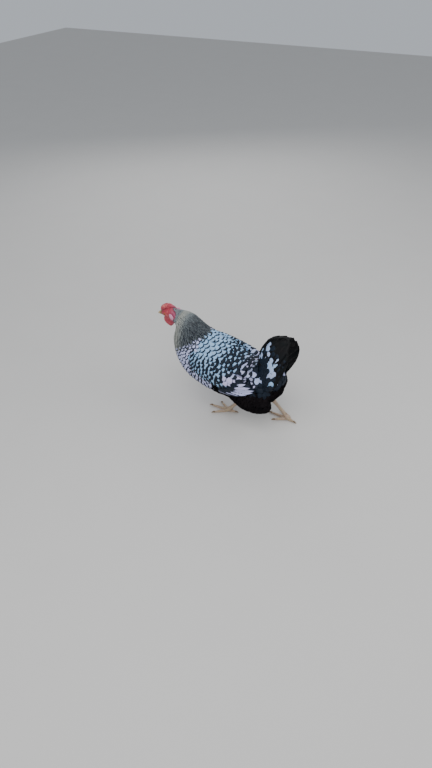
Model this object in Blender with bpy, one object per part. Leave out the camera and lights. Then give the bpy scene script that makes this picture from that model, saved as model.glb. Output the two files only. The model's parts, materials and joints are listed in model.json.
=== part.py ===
"""Laced hen in mid stride, life size, as a still museum model.

Metres, +Z up. The hen faces -Y and its own left side is +X. It rests on flats cut under its toes at z = 0,
and the origin is on the floor, under the middle of its bounding box.
"""

import math

import bmesh
import bpy
import numpy as np
from mathutils import Euler, Vector

CM = 0.01
GAP = 0.0003  # clearance between neighbouring solids
MOST_SHELL = 3  # times the gap that a sharp corner is moved out to keep it

# Driving dimensions
HEAD_AT = Vector((0.0, -26.2, 31.8)) * CM  # middle of the skull, between the eyes
HEAD_TILT = math.radians(8)  # the bill points this far below level
HEAD_TURN = math.radians(4)  # and this far to the hen's left
EYE_RADIUS = 0.52 * CM
TOE_RADIUS = 0.52 * CM
PAD_RADIUS = 0.95 * CM
TOE_START = 0.5 * CM  # from the middle of the pad
CLAW_ROOT = 0.72  # a toe's radius where its claw starts, as a share of TOE_RADIUS
# A toe's radius along it, as a share of TOE_RADIUS: it swells over each joint
TOE_SWELLS = ((0, 1.05), (0.15, 1.05), (0.32, 1.12), (0.48, 0.92), (0.66, 1.0), (0.86, 0.8), (1.0, CLAW_ROOT))
SHANK_RADIUS = 0.56 * CM
HOCK_RADIUS = 0.95 * CM
WING_BODY_CURVE = 8.2 * CM  # radius of the flank that a folded wing lies round

# Rings along each form, and points round each ring
TORSO_MESH = (26, 24)
WING_MESH = (13, 14)
TAIL_MESH = (10, 7)  # the second is for each face of the sheet
THIGH_MESH = (8, 14)
HEAD_MESH = (11, 16)
BILL_MESH = (8, 10)
COMB_MESH = (14, 12)
DROP_MESH = (7, 10)
EYE_MESH = (8, 12)
SHANK_SIDES = 10
TOE_SIDES = 8
CLAW_SIDES = 6

# Where the comb's points stand
COMB_POINTS = {"rings": range(2, 11), "places": range(1, 6), "height": 0.16 * CM}

# Torso stations from rump to throat: dorsal y, z, ventral y, z and half width, in centimetres, coat included
TORSO = (
    (15.6, 19.4, 15.8, 17.2, 2.0),
    (13.6, 21.8, 14.4, 13.2, 5.0),
    (9.6, 23.0, 11.2, 9.8, 7.0),
    (5.4, 23.2, 6.2, 8.9, 8.2),
    (1.0, 23.7, 0.6, 9.3, 8.8),
    (-3.6, 25.9, -5.4, 9.3, 9.0),
    (-7.8, 27.6, -11.6, 10.3, 8.9),
    (-11.0, 28.9, -17.4, 12.6, 8.2),
    (-13.2, 29.7, -21.2, 16.8, 7.2),
    (-15.2, 31.3, -23.0, 21.2, 6.1),
    (-17.2, 32.9, -23.3, 24.9, 4.9),
    (-19.6, 33.7, -22.4, 27.6, 3.7),
    (-22.0, 33.7, -22.5, 29.3, 2.8),
    (-23.9, 34.0, -24.2, 29.9, 2.3),
)
NECK_CUT = (Vector((0, -13.0, 29.6)) * CM, Vector((0, -20.8, 16.4)) * CM)  # dorsal and ventral end of the cut
RUMP_CUT = (Vector((0, 6.0, 23.2)) * CM, Vector((0, 7.4, 9.0)) * CM)

# Folded wing from shoulder to tip: x, y, z, half height and half thickness, in centimetres
WING = (
    (6.2, -15.4, 22.0, 0.8, 0.5),
    (7.1, -14.4, 21.6, 3.0, 1.0),
    (8.0, -11.4, 20.8, 4.4, 1.3),
    (8.5, -7.0, 19.6, 5.0, 1.45),
    (8.5, -2.6, 18.9, 4.6, 1.4),
    (8.2, 1.6, 18.4, 3.8, 1.25),
    (7.5, 5.2, 18.1, 2.7, 1.0),
    (6.9, 7.8, 17.9, 1.6, 0.75),
    (6.3, 9.4, 17.8, 0.5, 0.4),
)

# Feathered thighs by level: z, middle x and y, half width and half length, in centimetres
THIGH_LEFT = (
    (16.5, 4.9, 3.6, 3.4, 7.8),
    (14.2, 5.3, 4.8, 3.7, 8.2),
    (12.2, 5.4, 6.2, 3.6, 7.7),
    (10.4, 5.2, 7.0, 3.2, 6.8),
    (8.9, 5.0, 7.0, 2.5, 5.4),
    (7.8, 4.7, 6.2, 1.6, 3.4),
)
THIGH_RIGHT = (
    (16.5, 4.9, 3.6, 3.4, 7.8),
    (14.2, 5.3, 4.8, 3.6, 7.8),
    (12.2, 5.2, 6.4, 3.3, 6.9),
    (10.4, 4.9, 7.8, 2.8, 5.6),
    (8.6, 4.6, 8.8, 2.0, 3.6),
    (7.0, 4.4, 9.0, 1.2, 1.6),
)

# Legs: where the hock and the foot's pad are, in centimetres
LEFT_LEG = {"side": 1, "thigh": THIGH_LEFT, "hock": (3.3, 1.7, 8.0), "pad": (1.5, -3.5, 0.86)}
RIGHT_LEG = {"side": -1, "thigh": THIGH_RIGHT, "hock": (-4.3, 9.4, 6.9), "pad": (-4.3, 15.9, 0.86)}
HEADING = 2  # where the middle toes point, in degrees from -Y
# Toes: turn from the middle one towards the outside in degrees, length and claw length, in centimetres
TOES = {
    "inner": (-34, 4.4, 1.2),
    "middle": (0, 6.0, 1.4),
    "outer": (36, 4.8, 1.2),
    "hind": (190, 2.2, 1.2),
}

# One side of the tail by distance along it from root to tip, in centimetres: middle y and z of the top edge,
# y and z of the lower edge, half spread at the lower edge, and thickness
TAIL = (
    (6.4, 23.4, 13.2, 17.6, 5.2, 2.2),
    (7.1, 26.4, 14.6, 19.8, 5.8, 2.6),
    (7.9, 29.5, 15.7, 22.0, 6.0, 2.4),
    (9.8, 32.8, 16.6, 24.4, 5.6, 1.9),
    (13.0, 34.9, 17.3, 26.7, 4.9, 1.3),
    (17.0, 35.8, 17.9, 29.2, 3.9, 0.8),
)
TAIL_SPLIT = 0.02  # half the gap between the two sides of the tail, in centimetres

# Hanging lobes of skin, in centimetres: root to the side of, ahead of and above the middle of the skull
WATTLE = {"root": (0.62, 0.5, -1.0), "length": 3.6, "width": 1.9, "thick": 0.26, "lean": 0.5, "flare": 0.0}
EARLOBE = {"root": (2.3, -2.0, 0.8), "length": 2.4, "width": 0.95, "thick": 0.28, "lean": 0.15, "flare": 0.4}

MATERIALS = {  # colour, roughness
    "red_skin": ((0.55, 0.035, 0.04), 0.42),
    "lobe_skin": ((0.62, 0.14, 0.17), 0.4),
    "horn": ((0.62, 0.42, 0.16), 0.35),
    "eye": ((0.35, 0.09, 0.02), 0.08),
    "neck_feather": ((0.30, 0.31, 0.32), 0.75),
    "laced_feather": ((0.52, 0.54, 0.58), 0.7),
    "black_feather": ((0.012, 0.012, 0.016), 0.5),
    "dark_fluff": ((0.03, 0.028, 0.032), 0.9),
    "leg_scale": ((0.66, 0.50, 0.26), 0.45),
}


def clear_scene():
    for obj in list(bpy.data.objects):
        bpy.data.objects.remove(obj)


def material(name):
    found = bpy.data.materials.get(name)
    if found:
        return found
    colour, roughness = MATERIALS[name]
    made = bpy.data.materials.new(name)
    made.use_nodes = True
    shader = made.node_tree.nodes["Principled BSDF"]
    shader.inputs["Base Color"].default_value = (*colour, 1)
    shader.inputs["Roughness"].default_value = roughness
    shader.inputs["Metallic"].default_value = 0
    return made


def add_object(name, bm, finish):
    """Makes the node, in triangles that face out, so that a neighbour's seat follows them exactly."""
    bmesh.ops.triangulate(bm, faces=bm.faces)
    bmesh.ops.recalc_face_normals(bm, faces=bm.faces)
    mesh = bpy.data.meshes.new(name)
    bm.to_mesh(mesh)
    bm.free()
    mesh.shade_smooth()
    mesh.materials.append(material(finish))
    obj = bpy.data.objects.new(name, mesh)
    bpy.context.collection.objects.link(obj)
    return obj


def smooth_rows(rows, count):
    """A table's rows joined by a Catmull-Rom curve and read at count even steps."""
    table = np.array(rows, float)
    ends = np.vstack([2 * table[0] - table[1], table, 2 * table[-1] - table[-2]])
    out = []
    for step in np.linspace(0, len(table) - 1, count):
        i = min(int(step), len(table) - 2)
        t = step - i
        a, b, c, d = ends[i : i + 4]
        bend = 2 * a - 5 * b + 4 * c - d
        out.append(0.5 * (2 * b + (c - a) * t + bend * t**2 + (3 * b - a - 3 * c + d) * t**3))
    return out


def loft(rings):
    """A closed tube through rings of points, each end closed with a fan to its middle."""
    bm = bmesh.new()
    made = [[bm.verts.new(p) for p in ring] for ring in rings]
    size = len(rings[0])
    for one, two in zip(made, made[1:]):
        for i in range(size):
            j = (i + 1) % size
            bm.faces.new((one[i], one[j], two[j], two[i]))
    for ring in (made[0], made[-1]):
        middle = bm.verts.new(sum((v.co for v in ring), Vector()) / size)
        for i in range(size):
            bm.faces.new((ring[i], ring[(i + 1) % size], middle))
    return bm


def ellipse(centre, side, up, segments):
    """Points round an ellipse whose half axes are the vectors side and up."""
    turns = (math.tau * i / segments for i in range(segments))
    return [centre + side * math.cos(a) + up * math.sin(a) for a in turns]


def tube(stations, segments, across=Vector((1, 0, 0))):
    """A round tube through (point, radius) stations; its width runs along across where the path lets it."""
    rings = []
    for i, (point, radius) in enumerate(stations):
        before = stations[max(i - 1, 0)][0]
        after = stations[min(i + 1, len(stations) - 1)][0]
        along = (after - before).normalized()
        up = along.cross(across).normalized()
        side = up.cross(along).normalized()
        rings.append(ellipse(point, side * radius, up * radius, segments))
    return loft(rings)


def cut_by_plane(bm, point, normal):
    """Removes what lies on the normal's side of the plane and closes the cut."""
    geometry = bm.verts[:] + bm.edges[:] + bm.faces[:]
    found = bmesh.ops.bisect_plane(
        bm, geom=geometry, dist=1e-7, plane_co=point, plane_no=normal, clear_outer=True
    )
    rim = [e for e in found["geom_cut"] if isinstance(e, bmesh.types.BMEdge)]
    bmesh.ops.holes_fill(bm, edges=rim, sides=0)
    return bm


def seat(obj, neighbour):
    """Cuts from obj the room that its neighbour takes, with a gap all round."""
    name = f"room_{neighbour.name}"
    cutter = bpy.data.objects.get(name)
    if cutter is None:
        bm = bmesh.new()
        bm.from_mesh(neighbour.data)
        bm.normal_update()
        shift = [v.normal * GAP * min(v.calc_shell_factor(), MOST_SHELL) for v in bm.verts]
        for vertex, step in zip(bm.verts, shift):
            vertex.co += step
        mesh = bpy.data.meshes.new(name)
        bm.to_mesh(mesh)
        bm.free()
        cutter = bpy.data.objects.new(name, mesh)
        bpy.context.collection.objects.link(cutter)
        cutter.hide_render = True
        cutter.display_type = "WIRE"
    cut = obj.modifiers.new(f"seat_{neighbour.name}", "BOOLEAN")
    cut.operation = "DIFFERENCE"
    cut.object = cutter


def torso_rings():
    """Rings round the torso. Each is an egg, widest a little below its middle."""
    count, segments = TORSO_MESH
    rings = []
    for dorsal_y, dorsal_z, ventral_y, ventral_z, half_width in smooth_rows(TORSO, count):
        top = Vector((0, dorsal_y, dorsal_z)) * CM
        low = Vector((0, ventral_y, ventral_z)) * CM
        centre = (top + low) / 2
        half = (top - low) / 2
        ring = []
        for i in range(segments):
            a = math.tau * i / segments
            swell = 1 - 0.10 * math.sin(a)
            across = half_width * CM * math.cos(a) * swell
            ring.append(centre + Vector((across, 0, 0)) + half * math.sin(a))
        rings.append(ring)
    return rings


def plane_between(cut):
    """(point, normal) of a plane through the cut's two points and along X. Its normal points forward."""
    top, low = cut
    normal = (top - low).cross(Vector((1, 0, 0))).normalized()
    return top, normal if normal.y < 0 else -normal


def make_torso():
    """Neck, trunk and rump, parted by thin cuts across one smooth body."""
    rings = torso_rings()
    neck_at, neck_way = plane_between(NECK_CUT)
    rump_at, rump_way = plane_between(RUMP_CUT)
    half = GAP / 2
    neck = cut_by_plane(loft(rings), neck_at + neck_way * half, -neck_way)
    trunk = cut_by_plane(loft(rings), neck_at - neck_way * half, neck_way)
    trunk = cut_by_plane(trunk, rump_at + rump_way * half, -rump_way)
    rump = cut_by_plane(loft(rings), rump_at - rump_way * half, rump_way)
    return {
        "neck": add_object("neck", neck, "neck_feather"),
        "trunk": add_object("trunk", trunk, "laced_feather"),
        "rump": add_object("rump", rump, "dark_fluff"),
    }


def make_wing(name, side):
    """A folded wing: a lens that is bent round the flank."""
    count, segments = WING_MESH
    rings = []
    for x, y, z, half_height, half_thick in smooth_rows(WING, count):
        ring = []
        for i in range(segments):
            a = math.tau * i / segments
            rise = half_height * CM * math.sin(a)
            bend = WING_BODY_CURVE - math.sqrt(WING_BODY_CURVE**2 - rise**2)
            out = x * CM + half_thick * CM * math.cos(a) - bend
            ring.append(Vector((side * out, y * CM, z * CM + rise)))
        rings.append(ring)
    return add_object(name, loft(rings), "laced_feather")


def make_tail_side(name, side):
    """One side of the tail: a sheet of feathers that falls from the ridge and spreads, half of a tent."""
    count, across = TAIL_MESH
    rings = []
    for top_y, top_z, low_y, low_z, spread, thick in smooth_rows(TAIL, count):
        ring_out, ring_in = [], []
        for t in np.linspace(0, 1, across):
            bulge = math.sin(math.pi * t / 2)
            at = Vector((0, top_y + (low_y - top_y) * t, top_z + (low_z - top_z) * t)) * CM
            half_thick = thick * CM / 2 * (0.35 + 0.65 * math.sin(math.pi * (0.12 + 0.76 * t)))
            outward = TAIL_SPLIT + spread * bulge + 0.25
            ring_out.append(at + Vector((side * (outward * CM + half_thick), 0, 0)))
            inner = max(outward * CM - half_thick, TAIL_SPLIT * CM)
            ring_in.append(at + Vector((side * inner, 0, 0)))
        rings.append(ring_out + ring_in[::-1])
    return add_object(name, loft(rings), "black_feather")


def head_point(right, ahead, up):
    """A point given from the middle of the skull, in centimetres: to the hen's left, ahead and up."""
    local = Vector((right, -ahead, up)) * CM
    local.rotate(head_rotation())
    return HEAD_AT + local


def head_rotation():
    return Euler((HEAD_TILT, 0, HEAD_TURN))


def head_rings(rows, mesh):
    """Rings across the head, from rows of how far ahead, the middle's height and the half sizes."""
    count, segments = mesh
    turns = [math.tau * i / segments for i in range(segments)]
    rings = []
    for ahead, middle, half_width, half_height in smooth_rows(rows, count):
        ring = [(half_width * math.cos(a), ahead, middle + half_height * math.sin(a)) for a in turns]
        rings.append([head_point(*place) for place in ring])
    return rings


def make_head():
    """The skull with its cheeks, from the nape to the root of the bill."""
    stations = (
        (-2.15, 0.05, 1.95, 2.05),
        (-1.7, 0.05, 1.95, 2.1),
        (-0.9, 0.1, 1.85, 2.05),
        (0.0, 0.15, 1.7, 1.9),
        (0.9, 0.1, 1.45, 1.6),
        (1.7, 0.0, 1.1, 1.22),
        (2.3, -0.1, 0.82, 0.95),
        (2.6, -0.12, 0.55, 0.68),
    )
    return add_object("head", loft(head_rings(stations, HEAD_MESH)), "red_skin")


def make_bill():
    """The upper bill hooks over the lower one."""
    upper = (
        (1.9, 0.30, 0.72, 0.62),
        (2.5, 0.22, 0.66, 0.56),
        (3.1, 0.10, 0.55, 0.46),
        (3.7, -0.10, 0.40, 0.36),
        (4.15, -0.38, 0.22, 0.24),
        (4.35, -0.62, 0.07, 0.10),
    )
    lower = (
        (1.9, -0.62, 0.60, 0.28),
        (2.5, -0.60, 0.54, 0.24),
        (3.1, -0.61, 0.42, 0.19),
        (3.6, -0.66, 0.27, 0.14),
        (3.95, -0.74, 0.10, 0.07),
    )
    parts = {}
    for name, rows in (("beak_upper", upper), ("beak_lower", lower)):
        parts[name] = add_object(name, loft(head_rings(rows, BILL_MESH)), "horn")
    return parts


def make_comb():
    """A rose comb: low and broad in front, with rows of small points, and a spike that follows the nape."""
    stations = (
        (2.75, 1.15, 0.25, 0.28),
        (2.45, 1.45, 0.72, 0.62),
        (1.8, 1.85, 1.02, 0.82),
        (1.0, 2.15, 1.12, 0.88),
        (0.2, 2.35, 1.08, 0.84),
        (-0.6, 2.45, 0.92, 0.74),
        (-1.4, 2.5, 0.66, 0.58),
        (-2.2, 2.5, 0.38, 0.38),
        (-2.9, 2.42, 0.12, 0.14),
    )
    rings = head_rings(stations, COMB_MESH)
    for n in COMB_POINTS["rings"]:
        middle = sum(rings[n], Vector()) / len(rings[n])
        for i in COMB_POINTS["places"]:
            if n % 2 == i % 2:
                rings[n][i] += (rings[n][i] - middle).normalized() * COMB_POINTS["height"]
    return add_object("comb", loft(rings), "red_skin")


def make_drop(name, drop, finish, side):
    """A hanging lobe of skin, such as a wattle: a flat drop that widens towards its round lower end."""
    out, ahead, up = drop["root"]
    width, thick = drop["width"], drop["thick"]
    steps, segments = DROP_MESH
    rings = []
    for t in np.linspace(0, 1, steps):
        broad = math.sin(math.pi * (0.16 + 0.84 * t**1.15)) ** 0.6 if t < 1 else 0.15
        slim = 0.45 + 0.55 * math.sin(math.pi * t) if t < 1 else 0.3
        ring = []
        for i in range(segments):
            a = math.tau * i / segments
            ring.append(
                head_point(
                    side * (out + thick * slim * math.sin(a) - drop["flare"] * width * broad * math.cos(a)),
                    ahead - drop["lean"] * t + width * broad * math.cos(a),
                    up - drop["length"] * t,
                )
            )
        rings.append(ring)
    return add_object(name, loft(rings), finish)


def make_eye(name, side):
    bm = bmesh.new()
    bmesh.ops.create_uvsphere(bm, u_segments=EYE_MESH[1], v_segments=EYE_MESH[0], radius=EYE_RADIUS)
    bmesh.ops.translate(bm, verts=bm.verts, vec=head_point(side * 1.38, 0.75, 0.42))
    return add_object(name, bm, "eye")


def make_head_parts():
    head = make_head()
    bill = make_bill()
    comb = make_comb()
    seat(comb, head)
    seat(comb, bill["beak_upper"])
    seat(bill["beak_lower"], bill["beak_upper"])
    for part in bill.values():
        seat(part, head)
    made = {"head": head, "comb": comb, **bill}
    for label, side in (("left", 1), ("right", -1)):
        eye = make_eye(f"eye_{label}", side)
        wattle = make_drop(f"wattle_{label}", WATTLE, "red_skin", side)
        lobe = make_drop(f"earlobe_{label}", EARLOBE, "lobe_skin", side)
        seat(head, eye)
        for part in (wattle, lobe):
            seat(part, head)
        seat(wattle, bill["beak_lower"])
        made |= {eye.name: eye, wattle.name: wattle, lobe.name: lobe}
    return made


def make_thigh(name, side, rows):
    count, segments = THIGH_MESH
    rings = []
    for z, x, y, half_width, half_length in smooth_rows(rows, count):
        centre = Vector((side * x, y, z)) * CM
        wide = Vector((half_width, 0, 0)) * CM
        long = Vector((0, half_length, 0)) * CM
        rings.append(ellipse(centre, wide, long, segments))
    return add_object(name, loft(rings), "dark_fluff")


def make_shank(name, hock, pad):
    """The scaled leg from the hock to the pad of the foot, with a flat under the pad."""
    run = pad - hock
    stations = (
        (hock - run * 0.06, HOCK_RADIUS * 0.55),
        (hock, HOCK_RADIUS),
        (hock + run * 0.10, HOCK_RADIUS * 0.92),
        (hock + run * 0.25, SHANK_RADIUS * 1.05),
        (hock + run * 0.55, SHANK_RADIUS * 0.95),
        (hock + run * 0.80, SHANK_RADIUS * 1.08),
        (hock + run * 0.93, PAD_RADIUS * 0.85),
        (pad, PAD_RADIUS),
        (pad + run.normalized() * PAD_RADIUS * 0.6, PAD_RADIUS * 0.75),
    )
    bm = tube(stations, SHANK_SIDES)
    return add_object(name, cut_by_plane(bm, Vector((0, 0, 0)), Vector((0, 0, -1))), "leg_scale")


def make_toe(name, start, way, length, neighbours):
    """A toe with pads under its joints, flat where it rests on the floor and parted from its neighbours."""
    reach = length * CM
    stations = []
    for t, swell in TOE_SWELLS:
        radius = TOE_RADIUS * swell * (1 - 0.18 * t)
        height = TOE_RADIUS * (0.80 - 0.12 * t)
        ahead = TOE_START + (reach - TOE_START) * t
        stations.append((Vector((start.x, start.y, height)) + way * ahead, radius))
    bm = tube(stations, TOE_SIDES, across=Vector((0, 0, 1)).cross(way))
    cut_by_plane(bm, Vector(), Vector((0, 0, -1)))
    for other in neighbours:
        normal = (other - way).normalized()
        cut_by_plane(bm, start - normal * GAP / 2, normal)
    return add_object(name, bm, "leg_scale")


def make_claw(name, toe_end, way, length):
    """A short claw that arches from the end of its toe down to the floor."""
    reach = length * CM
    stations = []
    for t, share in ((0, CLAW_ROOT * 0.82), (0.3, 0.54), (0.65, 0.36), (1.0, 0.1)):
        height = TOE_RADIUS * 0.68 + reach * (0.22 * math.sin(math.pi * t) * (1 - t) - 0.18 * t**2)
        stations.append((toe_end + way * (GAP + reach * t) + Vector((0, 0, height)), TOE_RADIUS * share))
    bm = tube(stations, CLAW_SIDES, across=Vector((0, 0, 1)).cross(way))
    cut_by_plane(bm, toe_end + way * GAP, -way)
    return add_object(name, cut_by_plane(bm, Vector((0, 0, 0)), Vector((0, 0, -1))), "horn")


def make_leg(label, leg):
    """One leg: thigh, shank, four toes and their claws."""
    side = leg["side"]
    hock = Vector(leg["hock"]) * CM
    pad = Vector(leg["pad"]) * CM
    thigh = make_thigh(f"thigh_{label}", side, leg["thigh"])
    shank = make_shank(f"shank_{label}", hock, pad)
    seat(thigh, shank)
    ways = {}
    for toe_name, (turn, _, _) in TOES.items():
        a = math.radians(HEADING + turn) * side
        ways[toe_name] = Vector((math.sin(a), -math.cos(a), 0))
    for toe_name, (_, length, claw_length) in TOES.items():
        way = ways[toe_name]
        neighbours = [w for w in ways.values() if 0.2 < way.angle(w) < 1.2]
        toe = make_toe(f"toe_{label}_{toe_name}", pad, way, length, neighbours)
        toe_end = Vector((pad.x, pad.y, 0)) + way * length * CM
        make_claw(f"claw_{label}_{toe_name}", toe_end, way, claw_length)
        seat(toe, shank)
    return thigh


def make_hen():
    torso = make_torso()
    head = make_head_parts()
    seat(torso["neck"], head["head"])
    for label in ("left", "right"):
        seat(torso["neck"], head[f"earlobe_{label}"])
        seat(torso["neck"], head[f"wattle_{label}"])
    seat(torso["neck"], head["comb"])
    for label, side in (("left", 1), ("right", -1)):
        wing = make_wing(f"wing_{label}", side)
        tail = make_tail_side(f"tail_{label}", side)
        for part in torso.values():
            seat(part, wing)
        seat(tail, torso["rump"])
        seat(tail, torso["trunk"])
        seat(tail, wing)
    for label, leg in (("left", LEFT_LEG), ("right", RIGHT_LEG)):
        thigh = make_leg(label, leg)
        seat(thigh, torso["trunk"])
        seat(thigh, torso["rump"])
        seat(thigh, bpy.data.objects[f"wing_{label}"])


def centre_on_floor():
    """Moves every mesh so that the origin is under the middle of the hen's box."""
    shown = [o for o in bpy.data.objects if not o.hide_render]
    points = np.array([v.co for o in shown for v in o.data.vertices])
    middle = (points.min(0) + points.max(0)) / 2
    for mesh in bpy.data.meshes:
        for vertex in mesh.vertices:
            vertex.co -= Vector((middle[0], middle[1], 0))


clear_scene()
make_hen()
centre_on_floor()
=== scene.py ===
import json
import math

import bmesh
import bpy
import numpy as np
from mathutils import Euler, Matrix, Vector, noise
from mathutils.bvhtree import BVHTree

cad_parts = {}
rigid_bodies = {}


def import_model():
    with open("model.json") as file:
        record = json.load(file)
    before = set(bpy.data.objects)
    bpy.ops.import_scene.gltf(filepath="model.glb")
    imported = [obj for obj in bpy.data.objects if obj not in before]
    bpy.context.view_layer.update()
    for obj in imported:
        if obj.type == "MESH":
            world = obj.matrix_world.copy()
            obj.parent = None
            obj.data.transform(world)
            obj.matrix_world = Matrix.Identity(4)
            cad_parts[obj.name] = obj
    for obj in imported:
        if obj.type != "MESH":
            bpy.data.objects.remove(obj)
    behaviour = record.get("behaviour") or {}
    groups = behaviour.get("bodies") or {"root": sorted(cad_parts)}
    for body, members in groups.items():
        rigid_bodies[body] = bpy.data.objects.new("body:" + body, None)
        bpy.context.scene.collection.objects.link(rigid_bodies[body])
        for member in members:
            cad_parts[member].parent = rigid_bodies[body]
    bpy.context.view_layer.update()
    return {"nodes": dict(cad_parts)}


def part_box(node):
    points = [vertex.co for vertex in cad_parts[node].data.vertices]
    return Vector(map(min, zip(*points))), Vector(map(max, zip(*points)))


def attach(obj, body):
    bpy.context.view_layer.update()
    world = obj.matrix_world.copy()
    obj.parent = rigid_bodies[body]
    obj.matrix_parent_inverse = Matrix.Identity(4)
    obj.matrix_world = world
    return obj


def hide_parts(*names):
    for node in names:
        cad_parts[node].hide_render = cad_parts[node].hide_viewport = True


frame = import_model()

cm = 0.01
mm = 0.001
sides = {"left": 1, "right": -1}
toeNames = ("inner", "middle", "outer", "hind")

bodyNodes = ["neck", "trunk", "rump", "wing_left", "wing_right", "thigh_left", "thigh_right"]
tailNodes = ["tail_left", "tail_right"]
headNodes = ["head", "comb", "earlobe_left", "earlobe_right", "wattle_left", "wattle_right"]
legNodes = [f"shank_{s}" for s in sides] + [f"toe_{s}_{t}" for s in sides for t in toeNames]
clawNodes = [f"claw_{s}_{t}" for s in sides for t in toeNames]
lieNodes = bodyNodes + tailNodes + ["head", "shank_left", "shank_right"]


# small helpers

def boxMiddle(nodeName):
    low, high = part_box(nodeName)
    return (low + high) / 2


def linked(thing):
    bpy.context.scene.collection.objects.link(thing)
    return thing


def plainCopy(thing):  # the object's evaluated mesh in place of its modifiers
    graph = bpy.context.evaluated_depsgraph_get()
    made = bpy.data.meshes.new_from_object(thing.evaluated_get(graph))
    thing.modifiers.clear()
    thing.data = made
    return thing


def dress(thing, *materials):
    thing.data.materials.clear()
    for made in materials:
        thing.data.materials.append(made)
    thing.data.shade_smooth()


def ridePiece(thing, slot, *replaced):
    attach(thing, "root")
    if replaced:
        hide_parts(*replaced)


def meshFrom(name, shape):
    made = bpy.data.meshes.new(name)
    shape.to_mesh(made)
    shape.free()
    return made


def pointsOf(mesh, kind="co"):
    flat = np.empty(len(mesh.vertices) * 3, np.float32)
    mesh.vertices.foreach_get(kind, flat)
    return flat.reshape(-1, 3).astype(float)


def movePoints(mesh, places):
    mesh.vertices.foreach_set("co", places.astype(np.float32).ravel())
    mesh.update()


def loopsOf(mesh):  # the point at each corner of each face
    flat = np.empty(len(mesh.loops), np.int32)
    mesh.loops.foreach_get("vertex_index", flat)
    return flat


def addValues(mesh, values):  # attributes with one row for each point
    for label, rows in values.items():
        rows = np.asarray(rows, np.float32)
        kind, key = ("FLOAT_VECTOR", "vector") if rows.ndim == 2 else ("FLOAT", "value")
        mesh.attributes.new(label, kind, "POINT").data.foreach_set(key, rows.ravel())


def addMap(mesh, name, rows):  # a UV map with one row for each corner of each face
    mesh.uv_layers.new(name=name).data.foreach_set("uv", rows.astype(np.float32).ravel())


def unit(rows):
    return rows / np.maximum(np.linalg.norm(rows, axis=1, keepdims=True), 1e-9)


def smoothStep(low, high, value):
    t = np.clip((value - low) / (high - low), 0, 1)
    return t * t * (3 - 2 * t)


def sewn(nodeNames, fatten=0.2 * mm):  # the nodes' loose triangles merged, and grown to close the gaps
    shape = bmesh.new()
    for nodeName in nodeNames:
        shape.from_mesh(frame["nodes"][nodeName].data)
    bmesh.ops.remove_doubles(shape, verts=shape.verts, dist=1e-6)
    shape.normal_update()
    for corner in shape.verts:
        corner.co += corner.normal * fatten
    return shape


def melted(name, shape, voxel, rounds):
    thing = linked(bpy.data.objects.new(name, meshFrom(name, shape)))
    melt = thing.modifiers.new("melt", "REMESH")
    melt.mode = "VOXEL"
    melt.voxel_size = voxel
    soften = thing.modifiers.new("soften", "SMOOTH")
    soften.factor = 0.5
    soften.iterations = rounds
    return plainCopy(thing)


def treeFrom(mesh):
    return BVHTree.FromPolygons([v.co for v in mesh.vertices], [list(f.vertices) for f in mesh.polygons])


def treeOf(nodeNames):  # for nearest points and rays, with the node that each face came from
    corners, faces, labels = [], [], []
    for nodeName in nodeNames:
        mesh = frame["nodes"][nodeName].data
        first = len(corners)
        corners += [v.co.copy() for v in mesh.vertices]
        for face in mesh.polygons:
            faces.append([first + i for i in face.vertices])
            labels.append(nodeName)
    return BVHTree.FromPolygons(corners, faces), labels


def addNode(tree, kind, *links, **settings):  # links: an input, and its value or the output that feeds it
    made = tree.nodes.new(kind)
    for label, value in settings.items():
        setattr(made, label, value)
    for socket, value in links:
        if isinstance(value, bpy.types.NodeSocket):
            tree.links.new(value, made.inputs[socket])
        else:
            made.inputs[socket].default_value = value
    return made


# materials

colours = {
    "combRed": (0.37, 0.026, 0.047),
    "faceRed": (0.43, 0.058, 0.090),
    # painted highlight, laid in pale blotches over the bare red skin
    "combPale": (0.66, 0.17, 0.15),
    "faceMauve": (0.33, 0.060, 0.130),
    "pitRed": (0.70, 0.16, 0.16),
    # painted highlight on the upper part of the earlobes
    "lobePale": (0.76, 0.36, 0.52),
    "lobeRed": (0.36, 0.060, 0.120),
    "downDark": (0.010, 0.009, 0.010),
    "downPale": (0.22, 0.24, 0.27),
    "downGrain": (0.05, 0.05, 0.055),
    # the white of the feathers, first with a painted blue sky reflection, then with a painted mauve shade
    # cast
    "silver": (0.31, 0.55, 0.86),
    "lilac": (0.67, 0.62, 0.95),
    "paleTone": (0.24, 0.29, 0.35),
    "paleRib": (0.26, 0.31, 0.38),
    "paleShaft": (0.74, 0.76, 0.76),
    "lace": (0.003, 0.009, 0.020),
    "slate": (0.10, 0.12, 0.15),
    "hackleGrey": (0.34, 0.40, 0.42),
    "hackleFront": (0.47, 0.48, 0.43),
    "hackleShade": (0.045, 0.048, 0.055),
    "hackleTone": (0.13, 0.15, 0.16),
    "hackleRib": (0.16, 0.18, 0.19),
    "tailBlack": (0.0026, 0.0024, 0.0030),
    "tailSheen": (0.003, 0.0055, 0.006),
    "tailRib": (0.008, 0.009, 0.011),
    "tailShaft": (0.016, 0.014, 0.014),
    "tailTone": (0.014, 0.012, 0.013),
    "fluffBlack": (0.0045, 0.004, 0.005),
    "fluffBrown": (0.012, 0.009, 0.010),
    "fluffHair": (0.020, 0.016, 0.018),
    "fluffTone": (0.016, 0.013, 0.015),
    "legYellow": (0.50, 0.385, 0.25),
    "legPink": (0.47, 0.33, 0.27),
    "legShade": (0.27, 0.19, 0.13),
    "hornPale": (0.66, 0.48, 0.22),
    "hornDark": (0.16, 0.10, 0.05),
    "irisAmber": (0.32, 0.075, 0.010),
    "irisPale": (0.60, 0.20, 0.03),
    "irisRim": (0.05, 0.02, 0.01),
    "pupil": (0.003, 0.003, 0.003),
    "floorPale": (0.60, 0.585, 0.565),
    "floorGrey": (0.576, 0.5616, 0.5424),
}


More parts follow.
